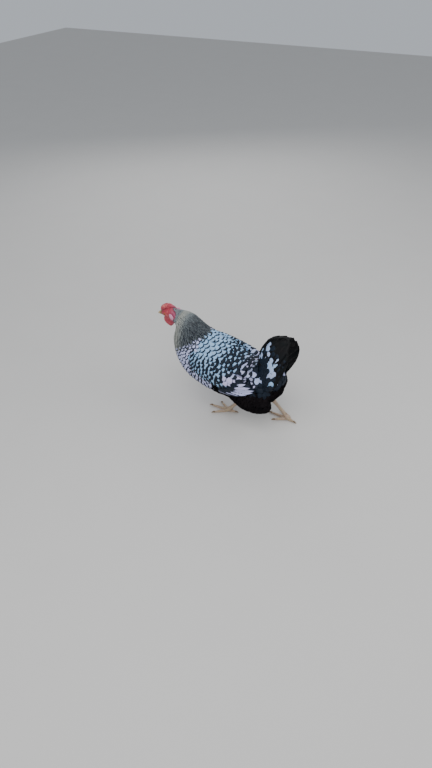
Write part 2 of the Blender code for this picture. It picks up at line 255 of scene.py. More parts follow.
class Paint:  # a material's node tree, with short ways to add to it
    def __init__(self, name, roughness, **sockets):
        self.material = bpy.data.materials.new(name)
        self.material.use_nodes = True
        self.tree = self.material.node_tree
        self.shader = self.tree.nodes["Principled BSDF"]
        self.shader.inputs["Roughness"].default_value = roughness
        for label, value in sockets.items():
            self.shader.inputs[label.replace("_", " ")].default_value = value

    def add(self, kind, *links, **settings):
        return addNode(self.tree, kind, *links, **settings)

    def math(self, operation, *values, clamp=False):
        made = self.add("ShaderNodeMath", *enumerate(values), operation=operation, use_clamp=clamp)
        return made.outputs[0]

    def plus(self, first, second):
        return self.math("ADD", first, second)

    def minus(self, first, second):
        return self.math("SUBTRACT", first, second)

    def times(self, first, second):
        return self.math("MULTIPLY", first, second)

    def fitted(self, value, gain, shift):
        return self.math("MULTIPLY_ADD", value, gain, shift)

    def soft(self, low, high, value):  # 0 below low and 1 above high, smooth between
        links = [(0, value), (1, low), (2, high)]
        return self.add("ShaderNodeMapRange", *links, interpolation_type="SMOOTHSTEP").outputs[0]

    def mix(self, share, first, second):  # each end is the name of a colour, or a socket
        ends = [(*colours[end], 1) if isinstance(end, str) else end for end in (first, second)]
        return self.add("ShaderNodeMix", (0, share), (6, ends[0]), (7, ends[1]), data_type="RGBA").outputs[2]

    def layers(self, colour, *over):  # each: how much, and the colour laid over the rest
        for share, shade in over:
            colour = self.mix(share, colour, shade)
        return colour

    def noise(self, place, scale, detail):
        return self.add("ShaderNodeTexNoise", (0, place), ("Scale", scale), ("Detail", detail)).outputs[0]

    def objectPlace(self):
        return self.add("ShaderNodeTexCoord").outputs["Object"]

    def objectNoise(self, scale, detail=3.0, stretch=(1, 1, 1)):
        spread = self.add("ShaderNodeMapping", (0, self.objectPlace()), ("Scale", stretch)).outputs[0]
        return self.noise(spread, scale, detail)

    def value(self, name):  # one of the mesh's own attributes
        return self.add("ShaderNodeAttribute", attribute_name=name).outputs["Fac"]

    def vaneAt(self):  # across and along the vane, each 0 to 1
        place = self.add("ShaderNodeUVMap", uv_map="vane").outputs[0]
        return self.add("ShaderNodeSeparateXYZ", (0, place)).outputs[:2]

    def barbs(self, count):  # fine ribs that run from the shaft out and towards the tip
        across, along = self.vaneAt()
        fromShaft = self.math("ABSOLUTE", self.minus(across, 0.5))
        run = self.minus(along, self.times(fromShaft, 0.75))
        ribs = self.math("SINE", self.times(run, count * math.tau))
        shaft = self.soft(0.035, 0.012, fromShaft)
        return across, along, fromShaft, run, self.fitted(ribs, 0.5, 0.5), shaft

    def colour(self, socket):
        self.tree.links.new(socket, self.shader.inputs["Base Color"])

    def rough(self, socket):
        self.tree.links.new(socket, self.shader.inputs["Roughness"])

    def bump(self, height, strength, distance):
        made = self.add("ShaderNodeBump", ("Height", height), ("Strength", strength), ("Distance", distance))
        self.tree.links.new(made.outputs[0], self.shader.inputs["Normal"])


def lacedPaint(name, count, centre=0.5):  # centre: where across the vane the pale mark is
    paint = Paint(name, 0.62, Specular_IOR_Level=0.25)
    across, along, fromShaft, run, ribs, shaft = paint.barbs(count)
    mark = paint.add("ShaderNodeAttribute", attribute_name="mark").outputs["Vector"]
    wide, high, middle = paint.add("ShaderNodeSeparateXYZ", (0, mark)).outputs[:3]
    beyond = paint.minus(along, middle)
    towardsRoot = paint.times(paint.value("closed"), paint.math("MINIMUM", beyond, 0.0))
    reach = paint.plus(paint.math("MAXIMUM", beyond, 0.0), towardsRoot)
    acrossPart = paint.math("POWER", paint.math("DIVIDE", paint.minus(across, centre), wide), 2.0)
    alongPart = paint.math("POWER", paint.math("DIVIDE", reach, high), 2.0)
    distance = paint.math("SQRT", paint.plus(acrossPart, alongPart))
    tone = paint.value("tone")
    fray = paint.add("ShaderNodeCombineXYZ", (0, paint.times(fromShaft, 3.0)), (1, run), (2, tone))
    distance = paint.plus(distance, paint.fitted(paint.noise(fray.outputs[0], 26.0, 2.0), 0.34, -0.17))
    inside = paint.soft(1.07, 0.93, distance)
    pale = paint.layers(
        # the white ground, painted with a blue sky reflection, turned by the tint towards a painted mauve
        # shade cast
        paint.mix(paint.value("tint"), "silver", "lilac"),
        (paint.times(tone, 0.28), "paleTone"),
        (paint.times(ribs, 0.22), "paleRib"),
        (paint.times(shaft, 0.30), "paleShaft"),
        (paint.soft(0.34, 0.12, along), "slate"),
        (paint.value("shade"), "slate"),
    )
    dark = "lace"
    if centre != 0.5:  # a faint pale rim on the long feathers
        dark = paint.mix(paint.times(paint.soft(0.90, 0.97, across), 0.5), "lace", "slate")
    paint.colour(paint.mix(inside, dark, pale))
    paint.rough(paint.fitted(inside, 0.10, 0.56))
    paint.bump(paint.plus(paint.times(ribs, 0.5), shaft), 0.35, 0.0004)
    return paint.material


def hacklePaint():
    paint = Paint("hackleFeather", 0.6, Specular_IOR_Level=0.25)
    _, along, fromShaft, _, ribs, shaft = paint.barbs(26.0)
    feathering = paint.objectNoise(900.0, 2.0)
    edge = paint.times(paint.value("stripe"), paint.soft(1.04, 0.50, along))
    gap = paint.plus(paint.minus(fromShaft, edge), paint.fitted(feathering, 0.10, -0.05))
    pale = paint.layers(
        paint.mix(paint.value("tint"), "hackleGrey", "hackleFront"),
        (paint.value("shade"), "hackleShade"),
        (paint.times(paint.value("tone"), 0.28), "hackleTone"),
        (paint.times(ribs, 0.32), "hackleRib"),
    )
    paint.colour(paint.mix(paint.soft(-0.03, 0.03, gap), "lace", pale))
    paint.bump(paint.plus(paint.times(ribs, 0.5), shaft), 0.35, 0.0003)
    return paint.material


def blackPaint(name, count):
    paint = Paint(name, 0.52, Specular_IOR_Level=0.14)
    ribs, shaft = paint.barbs(count)[4:]
    patches = paint.soft(0.35, 0.7, paint.objectNoise(38.0))
    paint.colour(paint.layers(
        paint.mix(patches, "tailBlack", "tailSheen"),
        (paint.times(ribs, 0.30), "tailRib"),
        (paint.times(shaft, 0.5), "tailShaft"),
        (paint.times(paint.value("tone"), 0.25), "tailTone"),
    ))
    paint.rough(paint.fitted(patches, 0.14, 0.46))
    paint.bump(paint.plus(paint.times(ribs, 0.6), shaft), 0.35, 0.0004)
    return paint.material


def fluffPaint():
    paint = Paint("darkFluff", 0.95, Specular_IOR_Level=0.06)
    across, along = paint.vaneAt()
    tone = paint.value("tone")
    strand = paint.add("ShaderNodeCombineXYZ", (0, paint.times(across, 26.0)), (1, paint.times(along, 2.2)),
                       (2, paint.times(tone, 9.0))).outputs[0]
    hairs = paint.soft(0.32, 0.68, paint.noise(strand, 1.0, 3.0))
    paint.colour(paint.layers(
        paint.mix(paint.soft(0.35, 0.7, paint.objectNoise(30.0)), "fluffBlack", "fluffBrown"),
        (paint.times(hairs, 0.35), "fluffHair"),
        (paint.times(tone, 0.25), "fluffTone"),
    ))
    paint.bump(hairs, 0.7, 0.0008)
    return paint.material


def skinPaint():  # bare red skin, the earlobes, and the dark or pale down under the feathers
    # the red skin carries painted highlights in pale blotches, and the earlobes a painted highlight on their
    # upper part
    paint = Paint("redSkin", 0.42, Subsurface_Weight=0.12, Subsurface_Scale=0.004)
    place = paint.objectPlace()
    split = paint.add("ShaderNodeSeparateXYZ", (0, place)).outputs
    blotches = paint.objectNoise(260.0)
    broad = paint.objectNoise(75.0, 1.0)
    grain = paint.objectNoise(700.0, 4.0)
    pits = paint.add("ShaderNodeTexVoronoi", (0, place), ("Scale", 1100.0)).outputs[0]
    height = paint.fitted(blotches, 0.012, paint.minus(split[2], 0.006))
    red = paint.layers(
        paint.mix(paint.soft(0.35, 0.68, blotches), "combRed", "faceRed"),
        # painted highlights: pale salmon blotches over the comb and face
        (paint.times(paint.soft(0.50, 0.68, broad), 0.7), "combPale"),
        (paint.times(paint.soft(-0.200, -0.178, split[1]), 0.9), "faceMauve"),
        (paint.times(paint.soft(0.35, 0.0, pits), 0.25), "pitRed"),
        # the earlobes: a painted highlight, pale pink on their upper part, over red lower down
        (paint.value("lobe"), paint.mix(paint.soft(0.322, 0.304, height), "lobePale", "lobeRed")),
    )
    down = paint.mix(paint.value("darkDown"), "downPale", "downDark")
    down = paint.mix(paint.times(grain, 0.4), down, "downGrain")
    bare = paint.value("bare")
    paint.colour(paint.mix(bare, down, red))
    bareRough = paint.fitted(blotches, 0.25, 0.30)
    paint.rough(paint.fitted(bare, paint.minus(bareRough, 0.9), 0.9))
    paint.bump(paint.plus(paint.times(pits, 0.8), blotches), 0.5, 0.0006)
    return paint.material


def legPaint():
    paint = Paint("legScale", 0.42, Subsurface_Weight=0.05, Subsurface_Scale=0.003)
    cells = paint.add("ShaderNodeTexVoronoi", (0, paint.objectPlace()), ("Scale", 620.0),
                      feature="DISTANCE_TO_EDGE").outputs[0]
    groove = paint.soft(0.12, 0.0, cells)
    colour = paint.mix(paint.soft(0.35, 0.72, paint.objectNoise(120.0)), "legYellow", "legPink")
    paint.colour(paint.mix(paint.times(groove, 0.6), colour, "legShade"))
    paint.bump(paint.minus(1.0, groove), 0.5, 0.0004)
    return paint.material


def scutePaint():
    paint = Paint("scuteScale", 0.36, Subsurface_Weight=0.05, Subsurface_Scale=0.003)
    along = paint.vaneAt()[1]
    stain = paint.objectNoise(150.0)
    colour = paint.mix(paint.soft(0.35, 0.72, stain), "legYellow", "legPink")
    paint.colour(paint.mix(paint.times(paint.soft(0.80, 1.0, along), 0.6), colour, "legShade"))
    paint.bump(stain, 0.3, 0.0003)
    return paint.material


def hornPaint(name, tipWay, span, start):  # dark towards the root, pale at the tip
    paint = Paint(name, 0.32, Coat_Weight=0.2)
    reach = paint.add("ShaderNodeVectorMath", (0, paint.objectPlace()), (1, tipWay),
                      operation="DOT_PRODUCT").outputs["Value"]
    streaks = paint.objectNoise(420.0, 3.0, (1, 0.3, 1))
    share = paint.soft(start, start + span, reach)
    share = paint.math("ADD", share, paint.fitted(streaks, 0.5, -0.25), clamp=True)
    paint.colour(paint.mix(share, "hornDark", "hornPale"))
    paint.bump(streaks, 0.25, 0.0003)
    return paint.material


def eyePaint():
    paint = Paint("eyeBall", 0.06, Coat_Weight=0.6, Coat_Roughness=0.03)
    place = paint.add("ShaderNodeUVMap", uv_map="iris").outputs[0]
    fromPupil = paint.add("ShaderNodeSeparateXYZ", (0, place)).outputs[0]
    iris = paint.mix(paint.noise(place, 30.0, 2.0), "irisAmber", "irisPale")
    iris = paint.mix(paint.soft(0.62, 0.80, fromPupil), iris, "irisRim")
    paint.colour(paint.mix(paint.soft(0.30, 0.36, fromPupil), "pupil", iris))
    return paint.material


paints = {
    "laced": lacedPaint("lacedFeather", 34.0),
    "hackle": hacklePaint(),
    "flight": lacedPaint("flightFeather", 90.0, 0.74),
    "black": blackPaint("blackFeather", 34.0),
    "tail": blackPaint("tailFeather", 120.0),
    "fluff": fluffPaint(),
    "skin": skinPaint(),
    "leg": legPaint(),
    "scute": scutePaint(),
    "eye": eyePaint(),
}


# camera, floor and lights

cameraSet = {
    "target": (0.0, 0.0557, 0.20),
    "distance": 1.93,
    "azimuth": 118.5,
    "elevation": 37.0,
    "turnLeft": 2.28,
    "turnDown": 1.83,
    "lens": 28.27,
}
lightSet = {
    # place, size and power of each soft light
    "key": ((1.3, 0.4, 2.2), 2.0, 46),
    "fill": ((-1.8, -1.2, 1.6), 2.0, 18),
    "back": ((-0.6, 1.8, 1.5), 1.5, 16),
}
stageSet = {"floorHalf": 6.0, "sky": (0.86, 0.92, 1.0, 1), "skyPower": 0.55}


def setCamera():
    azimuth = math.radians(cameraSet["azimuth"])
    elevation = math.radians(cameraSet["elevation"])
    level = math.cos(elevation)
    out = Vector((math.sin(azimuth) * level, -math.cos(azimuth) * level, math.sin(elevation)))
    turned = (-out).to_track_quat("-Z", "Y").to_matrix()
    turned = turned @ Matrix.Rotation(math.radians(cameraSet["turnLeft"]), 3, "Y")
    turned = turned @ Matrix.Rotation(math.radians(-cameraSet["turnDown"]), 3, "X")
    data = bpy.data.cameras.new("viewCamera")
    data.lens = cameraSet["lens"]
    data.sensor_width = 36
    camera = linked(bpy.data.objects.new("viewCamera", data))
    place = Vector(cameraSet["target"]) + out * cameraSet["distance"]
    camera.matrix_world = Matrix.Translation(place) @ turned.to_4x4()
    bpy.context.scene.camera = camera


def setStage():
    shape = bmesh.new()
    bmesh.ops.create_grid(shape, x_segments=1, y_segments=1, size=stageSet["floorHalf"])
    floor = linked(bpy.data.objects.new("floor", meshFrom("floor", shape)))
    paint = Paint("floorPaint", 0.9)
    paint.colour(paint.mix(paint.objectNoise(6.0, 4.0), "floorGrey", "floorPale"))
    floor.data.materials.append(paint.material)
    for name, (place, size, power) in lightSet.items():
        data = bpy.data.lights.new(name, "AREA")
        data.size = size
        data.energy = power
        lamp = linked(bpy.data.objects.new(name, data))
        lamp.location = place
        lamp.rotation_euler = (Vector((0, 0, 0.2)) - Vector(place)).to_track_quat("-Z", "Y").to_euler()
    world = bpy.data.worlds.new("softSky")
    world.use_nodes = True
    world.node_tree.nodes["Background"].inputs[0].default_value = stageSet["sky"]
    world.node_tree.nodes["Background"].inputs[1].default_value = stageSet["skyPower"]
    bpy.context.scene.world = world


setCamera()
setStage()
print("stage set")


# the head's own directions

headPose = {"tiltDown": 8, "turnLeft": 4, "eyeAhead": 0.75 * cm, "eyeUp": 0.42 * cm}
headTurn = Euler((math.radians(headPose["tiltDown"]), 0, math.radians(headPose["turnLeft"]))).to_matrix()
eyeMiddle = (boxMiddle("eye_left") + boxMiddle("eye_right")) / 2
headAt = eyeMiddle - headTurn @ Vector((0, -headPose["eyeAhead"], headPose["eyeUp"]))


def headPoint(left, ahead, up):  # from the middle of the skull
    return headAt + headTurn @ Vector((left, -ahead, up))


def headPlaces(places):  # the same, back from points: left, ahead, up
    local = (places - np.array(headAt)) @ np.array(headTurn)
    return np.stack([local[:, 0], -local[:, 1], local[:, 2]], 1)


# the surface that the coat's tips reach

lieSet = {"voxel": 2.4 * mm, "rounds": 5, "normalRounds": 10}


def addOutward(mesh, rounds):  # normals averaged over their neighbours, as an attribute
    edges = np.empty(len(mesh.edges) * 2, np.int32)
    mesh.edges.foreach_get("vertices", edges)
    edges = edges.reshape(-1, 2)
    out = pointsOf(mesh, "normal")
    for _ in range(rounds):
        total = out.copy()
        np.add.at(total, edges[:, 0], out[edges[:, 1]])
        np.add.at(total, edges[:, 1], out[edges[:, 0]])
        out = unit(total)
    addValues(mesh, {"outward": out})
    return out


def makeLie(name, nodeNames, voxel, rounds):
    surface = melted(name, sewn(nodeNames), voxel, rounds)
    return surface, addOutward(surface.data, lieSet["normalRounds"])


lie, lieOut = makeLie("lieSurface", lieNodes, lieSet["voxel"], lieSet["rounds"])
lieTree = treeFrom(lie.data)
print("lie surface", len(lie.data.vertices))


# skin

skinSet = {
    "bodyVoxel": 3.6 * mm,
    "headVoxel": 0.62 * mm,
    "legVoxel": 1.0 * mm,
    "mostDepth": 9 * mm,  # the coat's depth where it is deepest
    "depthShare": 0.26,  # of the body's thickness there
    "leastDepth": 1.5 * mm,
    "bareDepth": 0.15,  # of that, where the skin is bare
    "faceDepth": 1.3 * mm,  # under the small feathers behind the face
    "dropRounds": 16,  # how much the earlobes and wattles are smoothed
    # a lobe's pale part is a painted highlight; this fade runs from the lobe out to the red
    "lobeFade": (1.7 * mm, 0.7 * mm),  # from a lobe's pale edge out to the red
}
lidSet = {
    "opening": (50, 41),  # half angles seen from the eye's middle, along and up
    "square": 1.7,  # 2 for an oval opening, less for sharper corners
    "reach": 125,
    # as shares of the eye's radius: the lid's inner face, and its thickness at the edge and beyond
    "inside": 0.98,
    "rim": 0.06,
    "roll": 0.15,
    "rollEnd": 0.14,  # of the way out
    "thinning": 0.08,
    "folds": 4,
    "foldHeight": 0.028,
    "heavier": 0.03,  # the upper lid is the thicker one
    "rings": 16,
    "turns": 40,
}
browSet = {
    "places": ((1.55, 0.72), (1.25, 0.95), (0.9, 1.06), (0.5, 1.06), (0.1, 0.98)),  # ahead and up
    "left": 1.75 * cm,
    "bead": (1.9 * mm, 0.9 * mm),
}
eyeSet = {"radius": 0.515 * cm, "rings": 20, "turns": 32, "irisHalf": 58, "cornea": 0.05}
combSet = {"rows": 16, "points": 8, "bead": 1.2 * mm, "front": 2.35 * cm, "back": -1.5 * cm, "half": 78}
foldSet = {"fine": 0.14 * mm, "folds": 0.22 * mm}
drumSet = {"beads": 12, "slim": 0.50, "swell": 1.1, "height": 0.8 * cm}  # the drumstick inside the coat


def insetBody(thing):
    mesh = thing.data
    places = pointsOf(mesh)
    out = addOutward(mesh, 4)
    covered = feathered(places)
    tree = treeFrom(mesh)
    for i, (place, way) in enumerate(zip(places, out)):
        thick = tree.ray_cast(Vector(place) - Vector(way) * (0.4 * mm), -Vector(way))[3] or 0.05
        depth = min(max(thick * skinSet["depthShare"], skinSet["leastDepth"]), skinSet["mostDepth"])
        depth *= skinSet["bareDepth"] + (1 - skinSet["bareDepth"]) * covered[i]
        places[i] = place - way * depth
    movePoints(mesh, places)
    shape = bmesh.new()
    shape.from_mesh(mesh)
    bpy.data.objects.remove(thing)
    return melted("bodySkin", shape, skinSet["bodyVoxel"], 6)


def eyeTurn(side):  # ahead, up and outwards from an eye, as the columns of a matrix
    out = (headTurn @ Vector((side, -0.10, 0.04))).normalized()
    ahead = headTurn @ Vector((0, -1, 0.05))
    ahead = (ahead - out * ahead.dot(out)).normalized()
    up = out.cross(ahead) * side
    return Matrix((ahead, up, out)).transposed()


def onBall(a, b, height=1.0):  # a from the pole, b round it
    return Vector((math.sin(a) * math.cos(b), math.sin(a) * math.sin(b), math.cos(a) * height))


def addBead(shape, place, way, radius, height):
    turn = way.to_track_quat("Z", "Y").to_matrix().to_4x4()
    turn = Matrix.Translation(place) @ turn
    grow = Matrix.Diagonal((radius, radius, height, 1))
    bmesh.ops.create_icosphere(shape, subdivisions=1, radius=1, matrix=turn @ grow)


def addLids(shape):  # a rolled lid with soft folds round it, as a shell over each eye
    wide, tall = lidSet["opening"]
    rings, turns, power = lidSet["rings"], lidSet["turns"], lidSet["square"]
    for label, side in sides.items():
        middle = boxMiddle(f"eye_{label}")
        turn = eyeTurn(side)
        shell = bmesh.new()
        outer, inner = [], []
        for i in range(rings):
            share = i / (rings - 1)
            rolled = math.sin(min(share / lidSet["rollEnd"], 1) * math.pi / 2)
            folds = lidSet["foldHeight"] * math.cos(share * lidSet["folds"] * math.tau)
            folds *= math.sin(math.pi * min(share * 1.6, 1))
            swell = lidSet["rim"] + (lidSet["roll"] - lidSet["rim"]) * rolled + folds
            swell -= lidSet["thinning"] * share
            outer.append([])
            inner.append([])
            for j in range(turns):
                b = math.tau * j / turns
                edge = (abs(math.cos(b) / wide) ** power + abs(math.sin(b) / tall) ** power) ** (-1 / power)
                spot = turn @ onBall(math.radians(edge + (lidSet["reach"] - edge) * share), b)
                thick = 1 + swell + lidSet["heavier"] * max(math.sin(b), 0)
                outer[i].append(shell.verts.new(middle + spot * eyeSet["radius"] * thick))
                inner[i].append(shell.verts.new(middle + spot * eyeSet["radius"] * lidSet["inside"]))
        for i in range(rings):
            for j in range(turns):
                k = (j + 1) % turns
                if i in (0, rings - 1):
                    shell.faces.new((outer[i][j], outer[i][k], inner[i][k], inner[i][j]))
                if i:
                    shell.faces.new((outer[i - 1][j], outer[i][j], outer[i][k], outer[i - 1][k]))
                    shell.faces.new((inner[i - 1][j], inner[i][j], inner[i][k], inner[i - 1][k]))
        bmesh.ops.recalc_face_normals(shell, faces=shell.faces)
        lid = meshFrom("lid", shell)
        shape.from_mesh(lid)
        bpy.data.meshes.remove(lid)
    skull = treeOf(["head"])[0]
    for side in sides.values():
        for ahead, up in browSet["places"]:
            place, way = skull.find_nearest(headPoint(side * browSet["left"], ahead * cm, up * cm))[:2]
            addBead(shape, place, way, *browSet["bead"])


def addCombPoints(shape):
    tree = treeOf(["comb"])[0]
    rng = np.random.default_rng(11)
    for row in range(combSet["rows"]):
        ahead = combSet["front"] + (combSet["back"] - combSet["front"]) * row / (combSet["rows"] - 1)
        middle = headPoint(0, ahead, 1.95 * cm)
        for column in range(combSet["points"]):
            share = (column + 0.5 * (row % 2)) / combSet["points"]
            a = math.radians(combSet["half"] * (2 * share - 1))
            way = headTurn @ Vector((math.sin(a), 0, math.cos(a)))
            place = tree.ray_cast(middle + way * 0.05, -way)[0]
            if place:
                size = combSet["bead"] * rng.uniform(0.8, 1.2)
                addBead(shape, place - way * (0.2 * mm), way, size, size * rng.uniform(1.2, 1.9))


def foldSkin(mesh):  # small wrinkles across the bare face, comb and wattles
    places = pointsOf(mesh)
    out = pointsOf(mesh, "normal")
    for i, place in enumerate(places):
        spot = Vector(place)
        fine = noise.noise(spot * 900)
        folds = noise.noise(Vector((spot.x * 260, spot.y * 900, spot.z * 320)))
        places[i] = place + out[i] * (foldSet["fine"] * fine + foldSet["folds"] * folds)
    movePoints(mesh, places)


featherLine = {
    # how far ahead the feathers reach at each height, from the throat to the comb's rear, in centimetres
    "up": (-2.6, -2.0, -1.3, -0.4, 0.6, 1.2, 1.6, 2.1),
    "ahead": (0.6, -1.2, -2.9, -3.7, -3.9, -3.6, -2.8, -1.9),
    "fade": (0.15, -0.30),  # from the line
    "always": (4.7, 5.2),  # this far from the skull's middle
}


def feathered(places):  # 1 where the head's skin carries feathers, 0 where it is bare
    local = headPlaces(places) / cm
    line = np.interp(local[:, 2], featherLine["up"], featherLine["ahead"])
    ahead, behind = featherLine["fade"]
    back = smoothStep(line + ahead, line + behind, local[:, 1])
    away = smoothStep(*featherLine["always"], np.linalg.norm(local, axis=1))
    return np.clip(np.maximum(back, away), 0, 1)


def makeHeadSkin():
    shape = sewn(headNodes)
    addLids(shape)
    addCombPoints(shape)
    head = melted("headSkin", shape, skinSet["headVoxel"], 3)
    tree, labels = treeOf(headNodes)
    near = [labels[tree.find_nearest(v.co)[2]] for v in head.data.vertices]
    drops = head.vertex_groups.new(name="drops")
    drops.add([i for i, label in enumerate(near) if label.startswith(("earlobe", "wattle"))], 1.0, "REPLACE")
    rounder = head.modifiers.new("rounder", "SMOOTH")
    rounder.iterations = skinSet["dropRounds"]
    rounder.vertex_group = "drops"
    plainCopy(head)
    foldSkin(head.data)
    places = pointsOf(head.data)
    sink = feathered(places) * (np.array(near) == "head") * skinSet["faceDepth"]
    movePoints(head.data, places - pointsOf(head.data, "normal") * sink[:, None])
    return head


def makeLegSkin():
    shape = sewn(legNodes, 0.15 * mm)
    for side in sides:
        thigh = boxMiddle(f"thigh_{side}")
        top = Vector(max((v.co for v in frame["nodes"][f"shank_{side}"].data.vertices), key=lambda c: c.z))
        for share in np.linspace(-0.10, 1, drumSet["beads"]):
            radius = (drumSet["slim"] + drumSet["swell"] * max(share, 0)) * cm
            addBead(shape, top.lerp(thigh, share), Vector((0, 0, 1)), radius, drumSet["height"])
    return melted("legSkin", shape, skinSet["legVoxel"], 3)


def makeSkin():
    body = insetBody(melted("bodyGuide", sewn(bodyNodes + ["head"]), skinSet["bodyVoxel"], 4))
    others = makeHeadSkin(), makeLegSkin()
    for other in others:
        join = body.modifiers.new("join", "BOOLEAN")
        join.operation = "UNION"
        join.solver = "MANIFOLD"
        join.object = other
    plainCopy(body)
    for other in others:
        bpy.data.objects.remove(other)
    body.name = "skin"
    body.data.name = "skin"
    return body


def dressSkin(skin):
    mesh = skin.data
    dress(skin, paints["skin"], paints["leg"])
    tree, labels = treeOf(bodyNodes + headNodes + legNodes)
    onLeg = [labels[tree.find_nearest(f.center)[2]].startswith(("shank", "toe")) for f in mesh.polygons]
    mesh.polygons.foreach_set("material_index", np.array(onLeg, np.int32))
    places = pointsOf(mesh)
    near = np.array([labels[tree.find_nearest(Vector(p))[2]] for p in places])
    zones = zoneOf(places, pointsOf(mesh, "normal"), near)[0]
    dark = np.isin(zones, ("fluff", "thighs", "rumpSpots", "tailCoverts")) + 0.5 * (zones == "hackle")
    bare = np.isin(near, ("head", "neck")) * (1 - feathered(places))
    bare[np.isin(near, headNodes[1:])] = 1
    lobes = treeOf(["earlobe_left", "earlobe_right"])[0]
    fromLobe = np.array([(lobes.find_nearest(Vector(p), 3 * mm)[3] or 9.0) for p in places])
    lobe = smoothStep(*skinSet["lobeFade"], fromLobe)
    addValues(mesh, {"darkDown": np.clip(dark, 0, 1), "bare": bare, "lobe": lobe})


# one vane as a closed thin sheet

def closedSheet(upper, lower):
    # two grids of points that share their outline: corners, faces and each corner's grid place and sheet
    rows, columns = upper.shape[:2]
    corners = upper.reshape(-1, 3).tolist()
    top = np.arange(rows * columns).reshape(rows, columns)
    under = top.copy()
    grid = [(i, j, 1.0 if 0 < i < rows - 1 and 0 < j < columns - 1 else 0.0)
            for i in range(rows) for j in range(columns)]
    for i in range(1, rows - 1):
        for j in range(1, columns - 1):
            under[i, j] = len(corners)
            corners.append(lower[i, j].tolist())
            grid.append((i, j, -1.0))
    faces = []
    for i in range(rows - 1):
        for j in range(columns - 1):
            faces.append((top[i, j], top[i, j + 1], top[i + 1, j + 1], top[i + 1, j]))
            faces.append((under[i, j], under[i + 1, j], under[i + 1, j + 1], under[i, j + 1]))
    return corners, faces, grid


vaneShapes = {
    # shares of the length from root to tip, the half widths there, columns, and how frayed the tip is
    "round": ((0, 0.16, 0.32, 0.48, 0.64, 0.78, 0.89, 0.96, 1.0),
              (0.06, 0.30, 0.42, 0.48, 0.50, 0.48, 0.41, 0.27, 0.07), 5, 0.0),
    "lance": ((0, 0.15, 0.32, 0.50, 0.67, 0.82, 0.93, 1.0),
              (0.12, 0.34, 0.46, 0.50, 0.47, 0.38, 0.24, 0.03), 3, 0.0),
    "tiny": ((0, 0.28, 0.58, 0.85, 1.0), (0.16, 0.44, 0.50, 0.34, 0.04), 3, 0.0),
    "plume": ((0, 0.20, 0.42, 0.62, 0.80, 1.0), (0.12, 0.36, 0.48, 0.50, 0.47, 0.40), 7, 0.42),
    "scute": ((0, 0.4, 0.8, 1.0), (0.44, 0.50, 0.50, 0.40), 5, 0.0),
}


def makePattern(kind, number, seed):
    steps, halves, columns, frayed = vaneShapes[kind]
    rng = np.random.default_rng(seed)
    lean = rng.uniform(-0.06, 0.06)
    upper = np.zeros((len(steps), columns, 3))
    for i, (along, half) in enumerate(zip(steps, halves)):
        fray = frayed * max(along - 0.5, 0) * 2
        for j, across in enumerate(np.linspace(-1, 1, columns)):
            cutBack = fray * (rng.uniform(0.6, 1.1) if j % 2 else rng.uniform(-0.1, 0.3))
            reach = along - cutBack - 0.05 * abs(across) * (1 - along)
            upper[i, j] = (across * half + lean * along**2, reach, 0)
    corners, faces, grid = closedSheet(upper, upper)
    mesh = bpy.data.meshes.new(f"{kind}Pattern{number}")
    mesh.from_pydata(corners, [], faces)
    addMap(mesh, "vane", np.array(corners)[loopsOf(mesh)][:, :2] + (0.5, 0))
    addValues(mesh, {"vanePlace": [(-1 + 2 * j / (columns - 1), steps[i], sheet) for i, j, sheet in grid]})
    return bpy.data.objects.new(mesh.name, mesh)


def makePatterns():
    made = {}
    for kind in vaneShapes:
        made[kind] = bpy.data.collections.new(f"{kind}Patterns")
        bpy.context.scene.collection.children.link(made[kind])
        for number in range(4):
            made[kind].objects.link(makePattern(kind, number, 20 + number))
    return made


# the tree that lays vanes on a surface

patchSize = 3 * mm  # of each vane on the OFBake map


